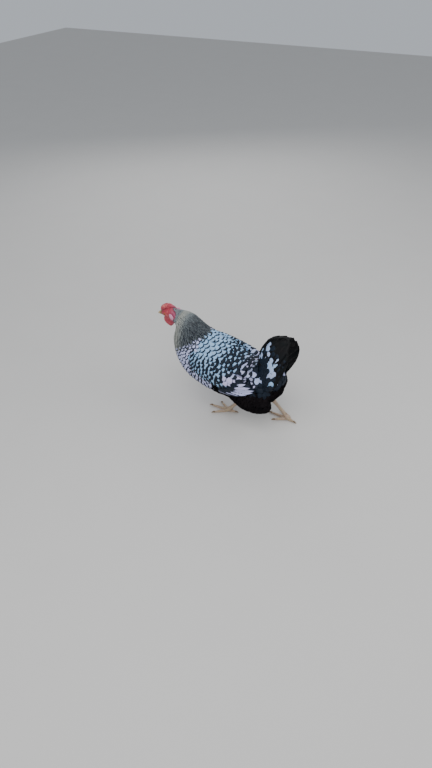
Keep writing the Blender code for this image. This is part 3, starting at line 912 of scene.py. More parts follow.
def makeCoatTree():
    tree = bpy.data.node_groups.new("layVanes", "GeometryNodeTree")
    sockets = (
        ("Geometry", "NodeSocketGeometry", None),
        ("Vane Patterns", "NodeSocketCollection", None),
        ("Lie Surface", "NodeSocketObject", None),
        ("Coat Material", "NodeSocketMaterial", None),
        ("Vane Thickness", "NodeSocketFloat", 0.2 * mm),
        ("Camber", "NodeSocketFloat", 0.10),
        ("Root Curve", "NodeSocketFloat", 1.4),
        ("Patch Size", "NodeSocketFloat", patchSize),
        ("Seed", "NodeSocketInt", 3),
    )
    for label, kind, value in sockets:
        made = tree.interface.new_socket(label, in_out="INPUT", socket_type=kind)
        if value is not None:
            made.default_value = value
    tree.interface.new_socket("Geometry", in_out="OUTPUT", socket_type="NodeSocketGeometry")

    def add(kind, *links, **settings):
        return addNode(tree, kind, *links, **settings)

    def named(name, kind="FLOAT_VECTOR"):
        return add("GeometryNodeInputNamedAttribute", ("Name", name), data_type=kind).outputs[0]

    def sums(operation, first, second):
        return add("ShaderNodeMath", (0, first), (1, second), operation=operation).outputs[0]

    def vectors(operation, *links):
        return add("ShaderNodeVectorMath", *links, operation=operation).outputs[0]

    def nearest(value):  # from the lie surface
        return add("GeometryNodeSampleNearestSurface", (0, surface), ("Value", value),
                   data_type="FLOAT_VECTOR").outputs[0]

    start = add("NodeGroupInput").outputs
    turn = add("FunctionNodeAxesToRotation", (0, named("outward")), (1, named("along")),
               primary_axis="Z", secondary_axis="Y")
    patterns = add("GeometryNodeCollectionInfo", (0, start["Vane Patterns"]), ("Separate Children", True),
                   ("Reset Children", True))
    pick = add("FunctionNodeRandomValue", (4, 0), (5, 3), ("Seed", start["Seed"]), data_type="INT")
    place = add("GeometryNodeInstanceOnPoints", ("Points", start["Geometry"]),
                ("Instance", patterns.outputs[0]), ("Pick Instance", True),
                ("Instance Index", pick.outputs[2]), ("Rotation", turn.outputs[0]), ("Scale", named("size")))
    solid = add("GeometryNodeRealizeInstances", (0, place.outputs[0]))

    # the height of each point over the lie surface, from where it is on its vane
    across, along, sheet = add("ShaderNodeSeparateXYZ", (0, named("vanePlace"))).outputs[:3]
    width = add("ShaderNodeSeparateXYZ", (0, named("size"))).outputs[0]
    toRoot = sums("POWER", sums("SUBTRACT", 1.0, along), start["Root Curve"])
    sink = sums("MULTIPLY", toRoot, named("depth", "FLOAT"))
    arch = sums("MULTIPLY", sums("POWER", across, 2.0), sums("MULTIPLY", width, start["Camber"]))
    rise = sums("MULTIPLY", named("lift", "FLOAT"), sums("POWER", along, 3.0))
    height = sums("SUBTRACT", sums("SUBTRACT", rise, sink), arch)
    height = sums("ADD", height, sums("MULTIPLY", sheet, start["Vane Thickness"]))
    surface = add("GeometryNodeObjectInfo", (0, start["Lie Surface"])).outputs["Geometry"]
    lifted = vectors("SCALE", (0, nearest(named("outward"))), ("Scale", height))
    draped = vectors("ADD", (0, nearest(add("GeometryNodeInputPosition").outputs[0])), (1, lifted))
    moved = add("GeometryNodeSetPosition", ("Geometry", solid.outputs[0]), ("Position", draped))

    # each vane's own patch, round its root's place on the unrolled skin
    sideways, endways = sums("MULTIPLY", across, 0.5), sums("SUBTRACT", along, 0.5)
    shift = add("ShaderNodeCombineXYZ", (0, sideways), (1, endways)).outputs[0]
    patch = vectors("SCALE", (0, shift), ("Scale", start["Patch Size"]))
    patch = vectors("ADD", (0, patch), (1, named("rootPatch")))
    stored = add("GeometryNodeStoreNamedAttribute", (0, moved.outputs[0]), ("Name", "OFBake"),
                 ("Value", patch), data_type="FLOAT2", domain="CORNER")
    smooth = add("GeometryNodeSetShadeSmooth", (0, stored.outputs[0]))
    painted = add("GeometryNodeSetMaterial", ("Geometry", smooth.outputs[0]),
                  ("Material", start["Coat Material"]))
    add("NodeGroupOutput", (0, painted.outputs[0]))
    return tree


def layVanes(name, roots, surface, setting, **inputs):  # roots: arrays with one row for each vane
    values = dict(roots)
    mesh = bpy.data.meshes.new(name)
    mesh.from_pydata(values.pop("place").tolist(), [], [])
    addValues(mesh, values)
    thing = linked(bpy.data.objects.new(name, mesh))
    lay = thing.modifiers.new("layVanes", "NODES")
    lay.node_group = coatTree
    inputs["Vane Patterns"] = patterns[setting["kind"]]
    inputs["Coat Material"] = paints[setting["paint"]]
    inputs["Lie Surface"] = surface
    for socket in coatTree.interface.items_tree:
        if socket.in_out == "INPUT" and socket.name in inputs:
            lay[socket.identifier] = inputs[socket.name]
    plainCopy(thing)
    for spare in ("outward", "along", "size", "vanePlace", "rootPatch", "depth", "lift"):
        found = thing.data.attributes.get(spare)
        if found:
            thing.data.attributes.remove(found)
    ridePiece(thing, setting["slot"])
    triangles = sum(len(f.vertices) - 2 for f in thing.data.polygons)
    print(name, len(roots["place"]), "vanes,", triangles, "triangles")


# where the vanes grow and how they lie

# the lie of the coat: place and direction in centimetres, on the left side; the right is its mirror
combGuides = {
    "body": (
        (0, -17.5, 34.0, 0, 1, -0.1), (0, -19.3, 29.5, 0, 0.25, -1), (2.8, -17.5, 31.5, 0.1, 0.75, -0.7),
        (0, -11.0, 32.2, 0, 0.92, -0.4), (4.5, -12.0, 28.0, 0.3, 0.6, -0.75), (0, -17.8, 22.0, 0, 0.25, -1),
        (4.5, -15.0, 20.0, 0.35, 0.45, -0.85), (0, -12.0, 12.5, 0, 0.75, -0.65), (6, -9, 14, 0.2, 0.8, -0.5),
        (0, -6, 28.3, 0, 0.93, -0.35), (6, -6, 25, 0.35, 0.8, -0.5), (0, 2, 25.8, 0, 0.93, -0.37),
        (0, 8, 23.5, 0, 0.98, -0.15), (5.5, 9, 21.5, 0.15, 0.9, -0.4), (0, 0, 9.2, 0, 1, -0.05),
        (6.5, 0, 13, 0.1, 0.95, -0.25), (0, 11, 9.5, 0, 0.95, 0.3), (0, 18, 13, 0, 0.5, 0.85),
        (6, 14, 16, 0.05, 0.9, -0.35), (0, 11, 23, 0, 1, 0.1), (0, 19.5, 17.5, 0, 0.35, 0.9),
    ),
    "wing": (
        (8.5, -9, 21.5, 0.1, 0.85, -0.5), (9.5, -6, 20.5, 0.1, 0.95, -0.3), (9.5, 0, 22.5, 0, 0.97, -0.25),
        (9.5, 4, 19, 0, 0.96, -0.28), (9.5, 0, 16, 0, 0.97, -0.10), (8.5, 12, 18, -0.1, 0.98, -0.1),
    ),
    "thigh": (
        (8, 8, 16, 0, 0.85, -0.5), (8, 12, 12, 0, 0.75, -0.65), (5, 3, 12, 0, 0.2, -0.95),
        (5, 16, 12, 0, 0.7, -0.6), (5, 11, 8, 0, 0.35, -0.9), (2, 10, 12, 0, 0.4, -0.9),
    ),
    "tail": (
        (0.6, 12, 25, 0, 0.30, 0.95), (0.6, 14, 33, 0, 0.55, 0.8), (0.6, 19, 40, 0, 1, 0.4),
        (5, 14, 24, 0, 0.45, 0.9), (5, 19, 23, 0, 0.45, 0.9), (5, 17, 30, 0, 0.5, 0.85),
        (4, 22, 32, 0, 0.6, 0.8),
    ),
    "head": (
        (0, -19.5, 33.9, 0, 1, 0.05), (1.9, -19.8, 32, 0.05, 0.85, -0.5), (0.5, -21, 29.8, 0, 0.6, -0.8),
    ),
}


def flowAt(places, out, guides):
    rows = np.array(guides, float)
    near = places / cm
    side = np.where(near[:, 0] < 0, -1.0, 1.0)
    near = np.stack([np.abs(near[:, 0]), near[:, 1], near[:, 2]], 1)
    gap = ((near[:, None, :] - rows[None, :, :3]) ** 2).sum(2) + 1.0
    weight = 1 / gap**2
    way = (weight[:, :, None] * rows[None, :, 3:]).sum(1) / weight.sum(1)[:, None]
    way[:, 0] *= side
    way -= out * (way * out).sum(1)[:, None]
    return unit(way)


def candidates(count, seed):  # even random places over the lie surface
    mesh = lie.data
    mesh.calc_loop_triangles()
    triangles = np.empty(len(mesh.loop_triangles) * 3, np.int32)
    mesh.loop_triangles.foreach_get("vertices", triangles)
    triangles = triangles.reshape(-1, 3)
    corners = pointsOf(mesh)[triangles]
    area = np.linalg.norm(np.cross(corners[:, 1] - corners[:, 0], corners[:, 2] - corners[:, 0]), axis=1)
    rng = np.random.default_rng(seed)
    chosen = rng.choice(len(area), count, p=area / area.sum())
    share = rng.random((count, 2))
    share = np.where(share.sum(1, keepdims=True) > 1, 1 - share, share)
    weight = np.stack([1 - share.sum(1), share[:, 0], share[:, 1]], 1)
    places = (corners[chosen] * weight[:, :, None]).sum(1)
    return places, unit((lieOut[triangles[chosen]] * weight[:, :, None]).sum(1))


def thinned(places, spacing, order):
    # goes through the places in order and keeps each one that has room
    kept, cells = [], {}
    keys = np.floor(places / float(spacing.max())).astype(int)
    around = [(a, b, c) for a in (-1, 0, 1) for b in (-1, 0, 1) for c in (-1, 0, 1)]
    for i in order:
        x, y, z = keys[i]
        near = [j for a, b, c in around for j in cells.get((x + a, y + b, z + c), ())]
        if near:
            gap = places[near] - places[i]
            if (gap * gap).sum(1).min() < spacing[i] ** 2:
                continue
        cells.setdefault((x, y, z), []).append(i)
        kept.append(i)
    return np.array(kept, int)


rollAxes = {
    # for unrolling the skin: a point on the axis, the way along it and the way that faces up
    "body": ((0, 0, 0.19), (0, 1, 0), (0, 0, 1)),
    "neck": ((0, -0.13, 0.25), (0, -0.5, 0.866), (0, 0.866, 0.5)),
    "leg": ((0, 0.08, 0.0), (0, 0, 1), (0, 1, 0)),
}


def unrolled(places, axis):  # round the axis and along it, spread over one square
    middle, way, up = (np.array(row) for row in rollAxes[axis])
    local = places - middle
    flat = np.stack([np.arctan2(local[:, 0], local @ up), local @ way], 1)
    low, high = flat.min(0), flat.max(0)
    flat = 0.02 + 0.96 * (flat - low) / (high - low)
    return np.column_stack([flat, np.zeros(len(flat))])


coatSet = {
    "places": 90000,  # tried for a vane
    "quickPlaces": 60000,
    "seed": 5,
    "rootBack": 0.35,  # of the vane's length, from its place back to its root
    "shownAhead": 0.42,  # and ahead to the middle of what the next vane leaves in sight
    "wallShare": 0.3,  # most of the body's thickness that a root goes into
    "plainStripe": 0.06,
    "hackleStripe": (0.03, 0.30),  # half width of the dark stripe on the neck, and how much it widens
}
neckVanes = {"paint": "hackle", "guides": "body", "roll": "neck", "camber": 0.05, "slot": "neck_feather"}
bodyVanes = {"kind": "round", "paint": "laced", "guides": "body", "roll": "body", "camber": 0.10,
             "slot": "laced_feather"}
fluffVanes = {**bodyVanes, "kind": "plume", "paint": "fluff", "slot": "dark_fluff"}
coatZones = {
    # at the zone's start and end: spacing, length and width in centimetres, the roots' depth in millimetres;
    # then the least and most lift of the tips in millimetres, and how far vanes stray, in degrees
    "face": {**neckVanes, "kind": "tiny", "guides": "head", "spacing": (0.14, 0.26), "length": (0.40, 1.10),
             "width": (0.17, 0.36), "depth": (0.7, 2.0), "lift": (0.0, 0.4), "turn": 10},
    "hackle": {**neckVanes, "kind": "lance", "spacing": (0.28, 0.62), "length": (1.2, 4.2),
               "width": (0.42, 0.96), "depth": (2.0, 5.5), "lift": (-0.1, 0.6), "turn": 6},
    "breast": {**bodyVanes, "spacing": (1.05, 1.50), "length": (2.9, 3.9), "width": (2.0, 2.9),
               "depth": (5.0, 7.0), "lift": (-0.2, 1.2), "turn": 10},
    "back": {**bodyVanes, "spacing": (1.35, 1.50), "length": (3.8, 4.3), "width": (2.5, 2.9),
             "depth": (6.0, 7.0), "lift": (-0.2, 1.2), "turn": 10},
    "wingCoverts": {**bodyVanes, "guides": "wing", "spacing": (0.85, 1.80), "length": (2.1, 4.8),
                    "width": (1.6, 3.5), "depth": (2.5, 4.5), "lift": (0.3, 1.4), "turn": 8},
    "rumpSpots": {**bodyVanes, "spacing": (1.35, 1.45), "length": (3.8, 4.2), "width": (2.5, 2.8),
                  "depth": (6.0, 6.0), "lift": (0.0, 1.6), "turn": 12},
    "fluff": {**fluffVanes, "spacing": (0.78, 0.74), "length": (2.8, 3.3), "width": (1.3, 1.5),
              "depth": (5.0, 6.0), "lift": (0.2, 2.4), "turn": 24},
    "thighs": {**fluffVanes, "guides": "thigh", "spacing": (0.80, 0.34), "length": (2.8, 1.4),
               "width": (1.4, 0.8), "depth": (5.0, 0.8), "lift": (0.2, 2.0), "turn": 20},
    "tailCoverts": {**bodyVanes, "guides": "tail", "spacing": (1.40, 1.60), "length": (4.6, 5.6),
                    "width": (2.8, 3.3), "depth": (3.0, 3.0), "lift": (0.0, 1.2), "turn": 9},
    "tailRidge": {**bodyVanes, "paint": "black", "guides": "tail", "slot": "black_feather",
                  "spacing": (1.10, 1.20), "length": (4.4, 4.8), "width": (2.0, 2.2), "depth": (2.0, 2.0),
                  "lift": (0.0, 1.0), "turn": 8},
}
zoneEdges = {
    # all in centimetres
    "hackle": ((-19.2, 21.8), (-6.4, 29.8)),  # y and z of its lower edge, at the throat and at the cape
    "hackleLength": 12.0,
    "face": (2.6, 5.2),  # from the skull's middle
    "breast": (-7.5, -1.0, 24, 12),  # its flat top's rear edge, its own rear edge, its top and its height
    "back": (-7, 16),  # start and length
    "rump": (9.5, 16.5, 9, 8),  # where it starts on the trunk, its lower edge, then start and length
    "wing": (15.9, 0.12, 2.2),  # lower edge of the coverts, its slope, and its step up at the rear
    "tail": (31.2, 0.42, 15),  # upper edge of the coverts, its slope, and where it starts
}


def zoneOf(places, out, labels):
    y, z = places[:, 1] / cm, places[:, 2] / cm
    across = np.abs(places[:, 0]) / cm
    fromHead = np.linalg.norm(headPlaces(places) / cm, axis=1)
    covered = feathered(places) > 0.22
    head, neck, trunk, rump = (labels == name for name in ("head", "neck", "trunk", "rump"))
    wing, thigh, tail = (np.char.startswith(labels, name) for name in ("wing", "thigh", "tail"))
    zone = np.full(len(places), "", dtype=object)
    along = np.zeros(len(places))  # 0 at the zone's start, 1 at its end

    def mark(name, here, share):
        zone[here] = name
        along[here] = np.clip(share, 0, 1)[here]

    (frontY, frontZ), (capeY, capeZ) = zoneEdges["hackle"]
    below = ((y - frontY) * (capeZ - frontZ) / (capeY - frontY) + frontZ) - z
    nearest, furthest = zoneEdges["face"]
    faceOn = (head | (neck & (fromHead < furthest))) & covered
    hackle = (neck | trunk) & (below < 0) & covered & ~faceOn
    mark("hackle", hackle, 1 + below / zoneEdges["hackleLength"])

    flatRear, rear, top, height = zoneEdges["breast"]
    breast = (neck | trunk) & ~hackle & (fromHead > 6) & ((out[:, 2] < 0.30) | (y < flatRear)) & (y < rear)
    mark("breast", breast, (top - z) / height)

    start, length = zoneEdges["back"]
    back = trunk & ~hackle & ~breast & (out[:, 2] > 0.10)
    mark("back", back, (y - start) / length)

    onTrunk, lower, start, length = zoneEdges["rump"]
    spots = (rump & (z > lower) & (out[:, 2] > -0.2)) | (trunk & (y > onTrunk) & (out[:, 2] > 0.10))
    mark("rumpSpots", spots, (y - start) / length)
    mark("fluff", ((trunk & ~hackle & ~breast & ~back) | rump) & ~spots, y / 16)

    lower, slope, step = zoneEdges["wing"]
    mark("", wing, (y + 9.8) / 20)
    zone[wing & (z > lower + slope * np.maximum(y, 0) + step * smoothStep(8, 12, y))] = "wingCoverts"
    mark("thighs", thigh, (13 - z) / 5)

    upper, slope, start = zoneEdges["tail"]
    outer = out[:, 0] * np.sign(places[:, 0]) > -0.15
    mark("", tail, ((z - 17.6) * 0.80 + (y - 18.8) * 0.55) / 10)  # up the tail from its root
    zone[tail & outer & (z < upper - slope * (y - start))] = "tailCoverts"
    zone[tail & (zone == "") & (out[:, 2] > 0.30) & (across < 2.4) & (y < 21)] = "tailRidge"
    zone[(head | neck) & ~covered] = ""
    mark("face", faceOn, (fromHead - nearest) / nearest)
    return zone, along


paleSet = {
    # y, z and radius of the pale patches on tail and wing, and the path of the tail's pale front edge
    "tail": np.array(((16.4, 31.2, 1.40), (18.9, 28.5, 2.10), (20.2, 25.8, 1.60), (19.4, 22.0, 0.75))) * cm,
    "wing": np.array((6.4, 19.6, 1.9)) * cm,
    "edge": np.array(((12.9, 27.0), (14.3, 31.0), (16.4, 33.8))) * cm,
    # left, back, up and radius of the few pale feathers behind the wing
    "spots": np.array(((5.0, 11.8, 21.3, 1.35), (4.9, 14.6, 21.0, 1.3), (2.5, 20.0, 20.4, 1.2))) * cm,
}


def nearPath(places, path):  # distance in the side view from a path of y and z
    flat = places[:, 1:]
    best = np.full(len(flat), 9.0)
    for start, end in zip(path[:-1], path[1:]):
        way = end - start
        share = np.clip(((flat - start) @ way) / (way @ way), 0, 1)
        best = np.minimum(best, np.linalg.norm(flat - start - share[:, None] * way, axis=1))
    return best


markSet = {
    # half width, half length and middle of the pale mark, as shares of the vane
    "plain": (0.36, 0.27, 0.58),
    "breast": (0.39, 0.30),
    "wingLine": (0.20, 0.16),  # in the dark line along the wing's front
    "light": (0.49, 0.34, 0.59),  # on the back and wings, and what the heaviest lacing takes off
    "heavier": (0.04, 0.17, 0.05),
    "wingRear": (0.42, 0.28),
    "wingPatch": (0.62, 0.42),
    # with no pale mark, and what a full one adds
    "rump": ((0.10, 0.36), (0.10, 0.22)),
    "tail": ((0.12, 0.50), (0.10, 0.30)),
    "nowhere": 5.0,  # a middle past the tip
}


def marksFor(zone, places, shown, rng):
    # the pale mark on each vane, whether it closes towards the root, how much of the painted mauve shade
    # cast it takes, and how dark
    count = len(places)
    wide, high, middle = (np.full(count, share) for share in markSet["plain"])
    closed, tint, shade = np.zeros(count), np.zeros(count), np.zeros(count)
    x, y, z = np.abs(places[:, 0]) / cm, places[:, 1] / cm, places[:, 2] / cm
    if zone == "breast":
        # the breast takes most of the painted mauve shade cast
        tint[:] = 0.75
        wide[:], high[:] = markSet["breast"]
        line = (y > -9.3) & (y < -7.9) & (z > 17.0) & (z < 26.0) & (x > 5.8)
        wide[line], high[line] = markSet["wingLine"]
    elif zone in ("back", "wingCoverts"):
        onWing = zone == "wingCoverts"
        heavy = 1 - smoothStep(23.8, 26.0, z) * smoothStep(2.5, -3.0, y)  # how broad the black lacing is
        heavy = np.clip(heavy + rng.uniform(-0.2, 0.2, count), 0.2, 1.1)
        shares = zip(markSet["light"], markSet["heavier"])
        wide, high, middle = (light - less * heavy for light, less in shares)
        # more of the painted mauve shade cast towards the rear
        tint = smoothStep(3, 8, y) * 0.9 if onWing else smoothStep(5, 9, y)
        if not onWing:
            shade = 0.35 * smoothStep(7, 10, y)
        big = onWing & (y > 4.5) & (z < 20.6)
        fromPatch = np.linalg.norm(shown[:, 1:] - paleSet["wing"][:2], axis=1) / paleSet["wing"][2]
        patch = smoothStep(1.1, 0.95, fromPatch) * (onWing & (y > 1.5) & (z < 23.0))
        wide, high = (np.where(big, share, was) for share, was in zip(markSet["wingRear"], (wide, high)))
        wide, high = (was + (share - was) * patch for share, was in zip(markSet["wingPatch"], (wide, high)))
        # the pale wing patch takes the full painted mauve shade cast
        tint = np.maximum(tint, patch)
    elif zone == "rumpSpots":
        gaps = np.linalg.norm(np.abs(shown)[:, None] - paleSet["spots"][None, :, :3], axis=2)
        size = smoothStep(1.25, 0.85, (gaps / paleSet["spots"][:, 3]).min(1))
        saddle = smoothStep(11.5, 9.0, y) * rng.uniform(0.5, 1.0, count)
        size = np.maximum(size, np.where(saddle > 0.35, saddle, 0.0))
        wide, high = (least + more * size for least, more in markSet["rump"])
        middle, closed = np.where(size > 0.2, 0.66, markSet["nowhere"]), np.ones(count)
        tint = rng.uniform(0.4, 1.0, count)
        shade = 0.5 * (size < 0.75)
    elif zone == "tailCoverts":
        gaps = np.linalg.norm(shown[:, None, 1:] - paleSet["tail"][None, :, :2], axis=2)
        size = smoothStep(1.15, 0.85, (gaps / paleSet["tail"][:, 2]).min(1)) * (x > 1.5)
        edge = 0.7 * smoothStep(1.1, 0.8, nearPath(shown, paleSet["edge"]) / (0.8 * cm)) * (x > 1.2)
        size = np.maximum(size, edge)
        wide, high = (least + more * size for least, more in markSet["tail"])
        middle, closed = np.where(size > 0.25, 0.62, markSet["nowhere"]), np.where(size > 0.25, 0.3, 1.0)
        tint = rng.uniform(0.0, 0.5, count)
    wide = wide * rng.uniform(0.92, 1.06, count)
    high = high * rng.uniform(0.92, 1.06, count)
    return {"mark": np.stack([wide, high, middle], 1), "closed": closed, "tint": tint, "shade": shade}


def rootsFor(zone, places, out, along, rng):
    setting = coatZones[zone]

    def between(key):
        first, last = setting[key]
        return first + (last - first) * t

    t = along
    spacing = between("spacing") * cm * rng.uniform(0.86, 1.14, len(places))
    flow = flowAt(places, out, combGuides[setting["guides"]])
    order = np.argsort((places * flow.mean(0)).sum(1) + rng.normal(0, 2 * mm, len(places)))
    kept = thinned(places, spacing, order)
    count = len(kept)
    t, at, up, way = along[kept], places[kept], out[kept], flow[kept]
    turn = np.radians(rng.normal(0, setting["turn"] * 0.5, count))
    way = unit(way * np.cos(turn)[:, None] + np.cross(way, up) * np.sin(turn)[:, None])
    length = between("length") * cm * rng.uniform(0.90, 1.12, count)
    width = between("width") * cm * rng.uniform(0.90, 1.10, count)
    depth = between("depth") * mm
    for i, (place, outward) in enumerate(zip(at, up)):
        wall = lieTree.ray_cast(Vector(place - outward * (0.6 * mm)), -Vector(outward))[3]
        if wall:
            depth[i] = min(depth[i], wall * coatSet["wallShare"])
    shown = at + way * length[:, None] * coatSet["shownAhead"]
    roots = marksFor(zone, at, shown, rng)
    roots["lift"] = rng.uniform(*setting["lift"], count) * mm
    roots["stripe"] = np.full(count, coatSet["plainStripe"])
    if zone == "hackle":  # plainer and paler at the front of the neck
        front = smoothStep(-12.5, -15.5, at[:, 1] / cm)
        slim, wider = coatSet["hackleStripe"]
        roots["stripe"] = slim + wider * smoothStep(0.30, 0.95, t) * (1 - 0.45 * front)
        roots["shade"] = smoothStep(0.14, 0.46, t) * (1 - 0.9 * front) * rng.uniform(0.60, 1.0, count)
        roots["tint"] = front
    roots["tone"] = rng.random(count)
    roots["place"] = at - way * length[:, None] * coatSet["rootBack"]
    roots["outward"] = up
    roots["along"] = way
    roots["size"] = np.stack([width, length, np.ones(count)], 1)
    roots["depth"] = depth
    roots["rootPatch"] = unrolled(at, setting["roll"])
    return roots


def growCoat():
    places, out = candidates(coatSet["places"], coatSet["seed"])
    tree, nodeLabels = treeOf(lieNodes)
    labels = np.array([nodeLabels[tree.find_nearest(Vector(p))[2]] for p in places])
    zones, along = zoneOf(places, out, labels)
    for number, (zone, setting) in enumerate(coatZones.items()):
        here = zones == zone
        roots = rootsFor(zone, places[here], out[here], along[here], np.random.default_rng(40 + number))
        layVanes(f"{zone}Coat", roots, lie, setting, Camber=setting["camber"])


coatTree = makeCoatTree()
patterns = makePatterns()
skin = makeSkin()
dressSkin(skin)
print("skin", len(skin.data.polygons), "faces")
growCoat()


# long feathers of the tail and wings, laid one by one

tailSet = {
    # root and tip of each feather from the tail's front edge to its rear: y and z in centimetres
    "feathers": (
        ((12.9, 23.0), (16.6, 33.4)), ((13.8, 22.4), (18.9, 34.9)), ((14.7, 21.7), (20.9, 35.6)),
        ((15.6, 21.0), (22.5, 35.5)), ((16.4, 20.4), (23.1, 33.2)), ((17.2, 19.8), (23.4, 30.7)),
        ((18.0, 19.2), (23.3, 28.2)), ((18.7, 18.6), (22.8, 25.6)),
    ),
    "halfWidth": 2.2 * cm,
    "bow": -0.5 * cm,
    "layers": (0.03, 0.36, 0.66, 0.97),  # shares of the way through each side of the tail
    "tilt": 0.8 * mm,
    "sink": (3.6 * mm, 0.0),
    "profile": (0.30, 0.50, 0.66, 0.80, 0.91, 0.98, 1.0, 0.99, 0.90, 0.40),
    "squeeze": 0.55,  # how far the layers draw together at the tips
}
flightSet = {
    "feathers": (
        ((-2.5, 15.5), (8.0, 14.95)), ((-1.8, 16.1), (10.6, 15.7)), ((-1.0, 16.8), (12.8, 16.5)),
        ((0.0, 17.5), (14.5, 17.4)), ((1.0, 18.2), (14.8, 18.2)), ((2.0, 18.9), (13.6, 19.1)),
        ((3.0, 19.6), (12.0, 20.1)),
    ),
    # half width, half length and middle of the pale web of each
    "pale": ((0.03, 0.30, 0.60), (0.06, 0.30, 0.66), (0.16, 0.22, 0.76), (0.26, 0.22, 0.76),
             (0.27, 0.22, 0.76), (0.26, 0.20, 0.78), (0.24, 0.16, 0.82)),
    "halfWidth": 1.25 * cm,
    "bow": 0.25 * cm,
    "layers": (0.0,),
    "tilt": 0.5 * mm,
    "sink": (3.2 * mm, -2.6 * mm),
    "profile": (0.50, 0.70, 0.84, 0.94, 1.0, 1.0, 1.0, 0.98, 0.88, 0.36),
    "squeeze": 0.0,
}
longSet = {
    "rows": 15,
    "columns": 7,
    "bunch": 0.8,  # below 1, the rows draw together at the tip
    "thickness": 0.22 * mm,
    "camber": 0.5 * mm,
    "mostWall": 26 * mm,
    "mostStep": 2 * cm,  # sideways, from one row to the next
    "mostGap": 2.2 * mm,
    "outside": 20 * cm,  # where rays start
    "tipRound": 4 * mm,
    "innerLie": 0.4,  # how much of its height a layer further in keeps
}


def wallPlace(tree, side, y, z, share, last):  # from a side-view place to the wall of feathers there
    inwards = Vector((-side, 0, 0))
    first = tree.ray_cast(Vector((side * longSet["outside"], y, z)), inwards)[0]
    if first is None or abs(first.x - last) > longSet["mostStep"]:
        spot = Vector((last, y, z))
        near = tree.find_nearest(spot)[0]
        gap = spot - near
        return near + gap.normalized() * min(gap.length, longSet["mostGap"])
    if not share:
        return first
    second = tree.ray_cast(first + inwards * (0.6 * mm), inwards)[0]
    inner = second.x if second else first.x - side * cm
    if abs(first.x - inner) > longSet["mostWall"]:
        inner = first.x - side * longSet["mostWall"]
    return Vector((first.x + (inner - first.x) * share, y, z))


def longVane(tree, side, root, tip, setting, share):
    rows, columns = longSet["rows"], longSet["columns"]
    profile = setting["profile"]
    sink, stand = setting["sink"]
    root, tip = Vector(root) * cm, Vector(tip) * cm
    way = (tip - root).normalized()
    acrossWay = Vector((way.y, -way.x))  # towards the tail's rear, or the wing's lower edge
    grid = np.zeros((rows, columns, 3))
    last = wallPlace(tree, side, *root.lerp(tip, 0.6), share, side * 6 * cm).x
    for i in range(rows):
        t = (i / (rows - 1)) ** longSet["bunch"]
        spine = root.lerp(tip, t) + acrossWay * setting["bow"] * math.sin(math.pi * t)
        half = setting["halfWidth"] * np.interp(t, np.linspace(0, 1, len(profile)), profile)
        drawn = 1 - setting["squeeze"] * float(smoothStep(0.70, 1.0, t))
        through = 0.5 + (share - 0.5) * drawn if share else 0
        for j in range(columns):
            a = -1 + 2 * j / (columns - 1)
            flat = spine + acrossWay * half * a - way * longSet["tipRound"] * a * a * t
            spot = wallPlace(tree, side, flat.x, flat.y, through, last)
            height = -sink + (sink - stand) * float(smoothStep(0.30, 0.62, t))
            height += setting["tilt"] * a - longSet["camber"] * a * a
            height *= 1 if share < 0.5 else longSet["innerLie"]
            grid[i, j] = spot + Vector((side * height, 0, 0))
        last = grid[i, columns // 2, 0]
    return grid


def longVanes(setting, trees):
    vanes = []
    for side, tree in trees.items():
        for share in setting["layers"]:
            for root, tip in setting["feathers"]:
                vanes.append((side, longVane(tree, side, root, tip, setting, share)))
    return vanes


def joinedVanes(name, vanes, paint, slot, values, *replaced):
    # one mesh of long vanes, with the coat's own maps and values
    rows, columns = longSet["rows"], longSet["columns"]
    corners, faces, flats, owner = [], [], [], []
    for number, (side, middle) in enumerate(vanes):
        first = len(corners)
        thick = np.array((side * longSet["thickness"], 0, 0))
        spots, sheets, grid = closedSheet(middle + thick, middle - thick)
        corners += spots
        faces += [[first + i for i in face] for face in sheets]
        flats += [(j / (columns - 1), (i / (rows - 1)) ** longSet["bunch"]) for i, j, _ in grid]
        owner += [number] * len(spots)
    mesh = bpy.data.meshes.new(name)
    mesh.from_pydata(corners, [], faces)
    shape = bmesh.new()
    shape.from_mesh(mesh)
    bmesh.ops.recalc_face_normals(shape, faces=shape.faces)
    shape.to_mesh(mesh)
    shape.free()
    loops = loopsOf(mesh)
    flats, owner = np.array(flats), np.array(owner)
    roots = unrolled(np.array([middle[rows // 2, columns // 2] for _, middle in vanes]), "body")[:, :2]
    addMap(mesh, "vane", flats[loops])
    addMap(mesh, "OFBake", roots[owner[loops]] + (flats[loops] - 0.5) * patchSize)
    addValues(mesh, {label: np.asarray(rows)[owner] for label, rows in values.items()})
    thing = linked(bpy.data.objects.new(name, mesh))
    dress(thing, paint)
    ridePiece(thing, slot, *replaced)
    print(name, len(vanes), "long feathers")


def makeTail():
    vanes = longVanes(tailSet, {side: treeOf([f"tail_{label}"])[0] for label, side in sides.items()})
    tone = np.random.default_rng(71).random(len(vanes))
    joinedVanes("tailFeathers", vanes, paints["tail"], "black_feather", {"tone": tone}, *tailNodes)


def makeFlights():
    vanes = longVanes(flightSet, {side: lieTree for side in sides.values()})
    count = len(vanes)
    values = {
        "tone": np.random.default_rng(72).random(count) * 0.6,
        "mark": np.array(flightSet["pale"] * len(sides)),
        "closed": np.ones(count),
        # mostly the painted mauve shade cast
        "tint": np.full(count, 0.8),
        "shade": np.zeros(count),
    }
    joinedVanes("flightFeathers", vanes, paints["flight"], "laced_feather", values)


makeTail()
makeFlights()


# plates down the shanks and along the toes

scuteSet = {
    # steps, the ends of the row as shares of the length, the ways that rows face, and how much wider
    "shank": (0.42 * cm, (0.10, 0.90), ((0, -1.0, 0.5), (0, 1.0, -0.2)), 1.05),
    "toe": (0.34 * cm, (0.06, 0.96), ((0, 0, 1.0),), 1.0),
    "overlap": 1.55,
    "thickness": 0.16 * mm,
    "depth": 0.25 * mm,
    "lift": 0.42 * mm,
    "width": (8 * mm, 13 * mm),  # where the leg has no side to measure, and at most
    "kind": "scute",
    "paint": "scute",
    "slot": "leg_scale",
}


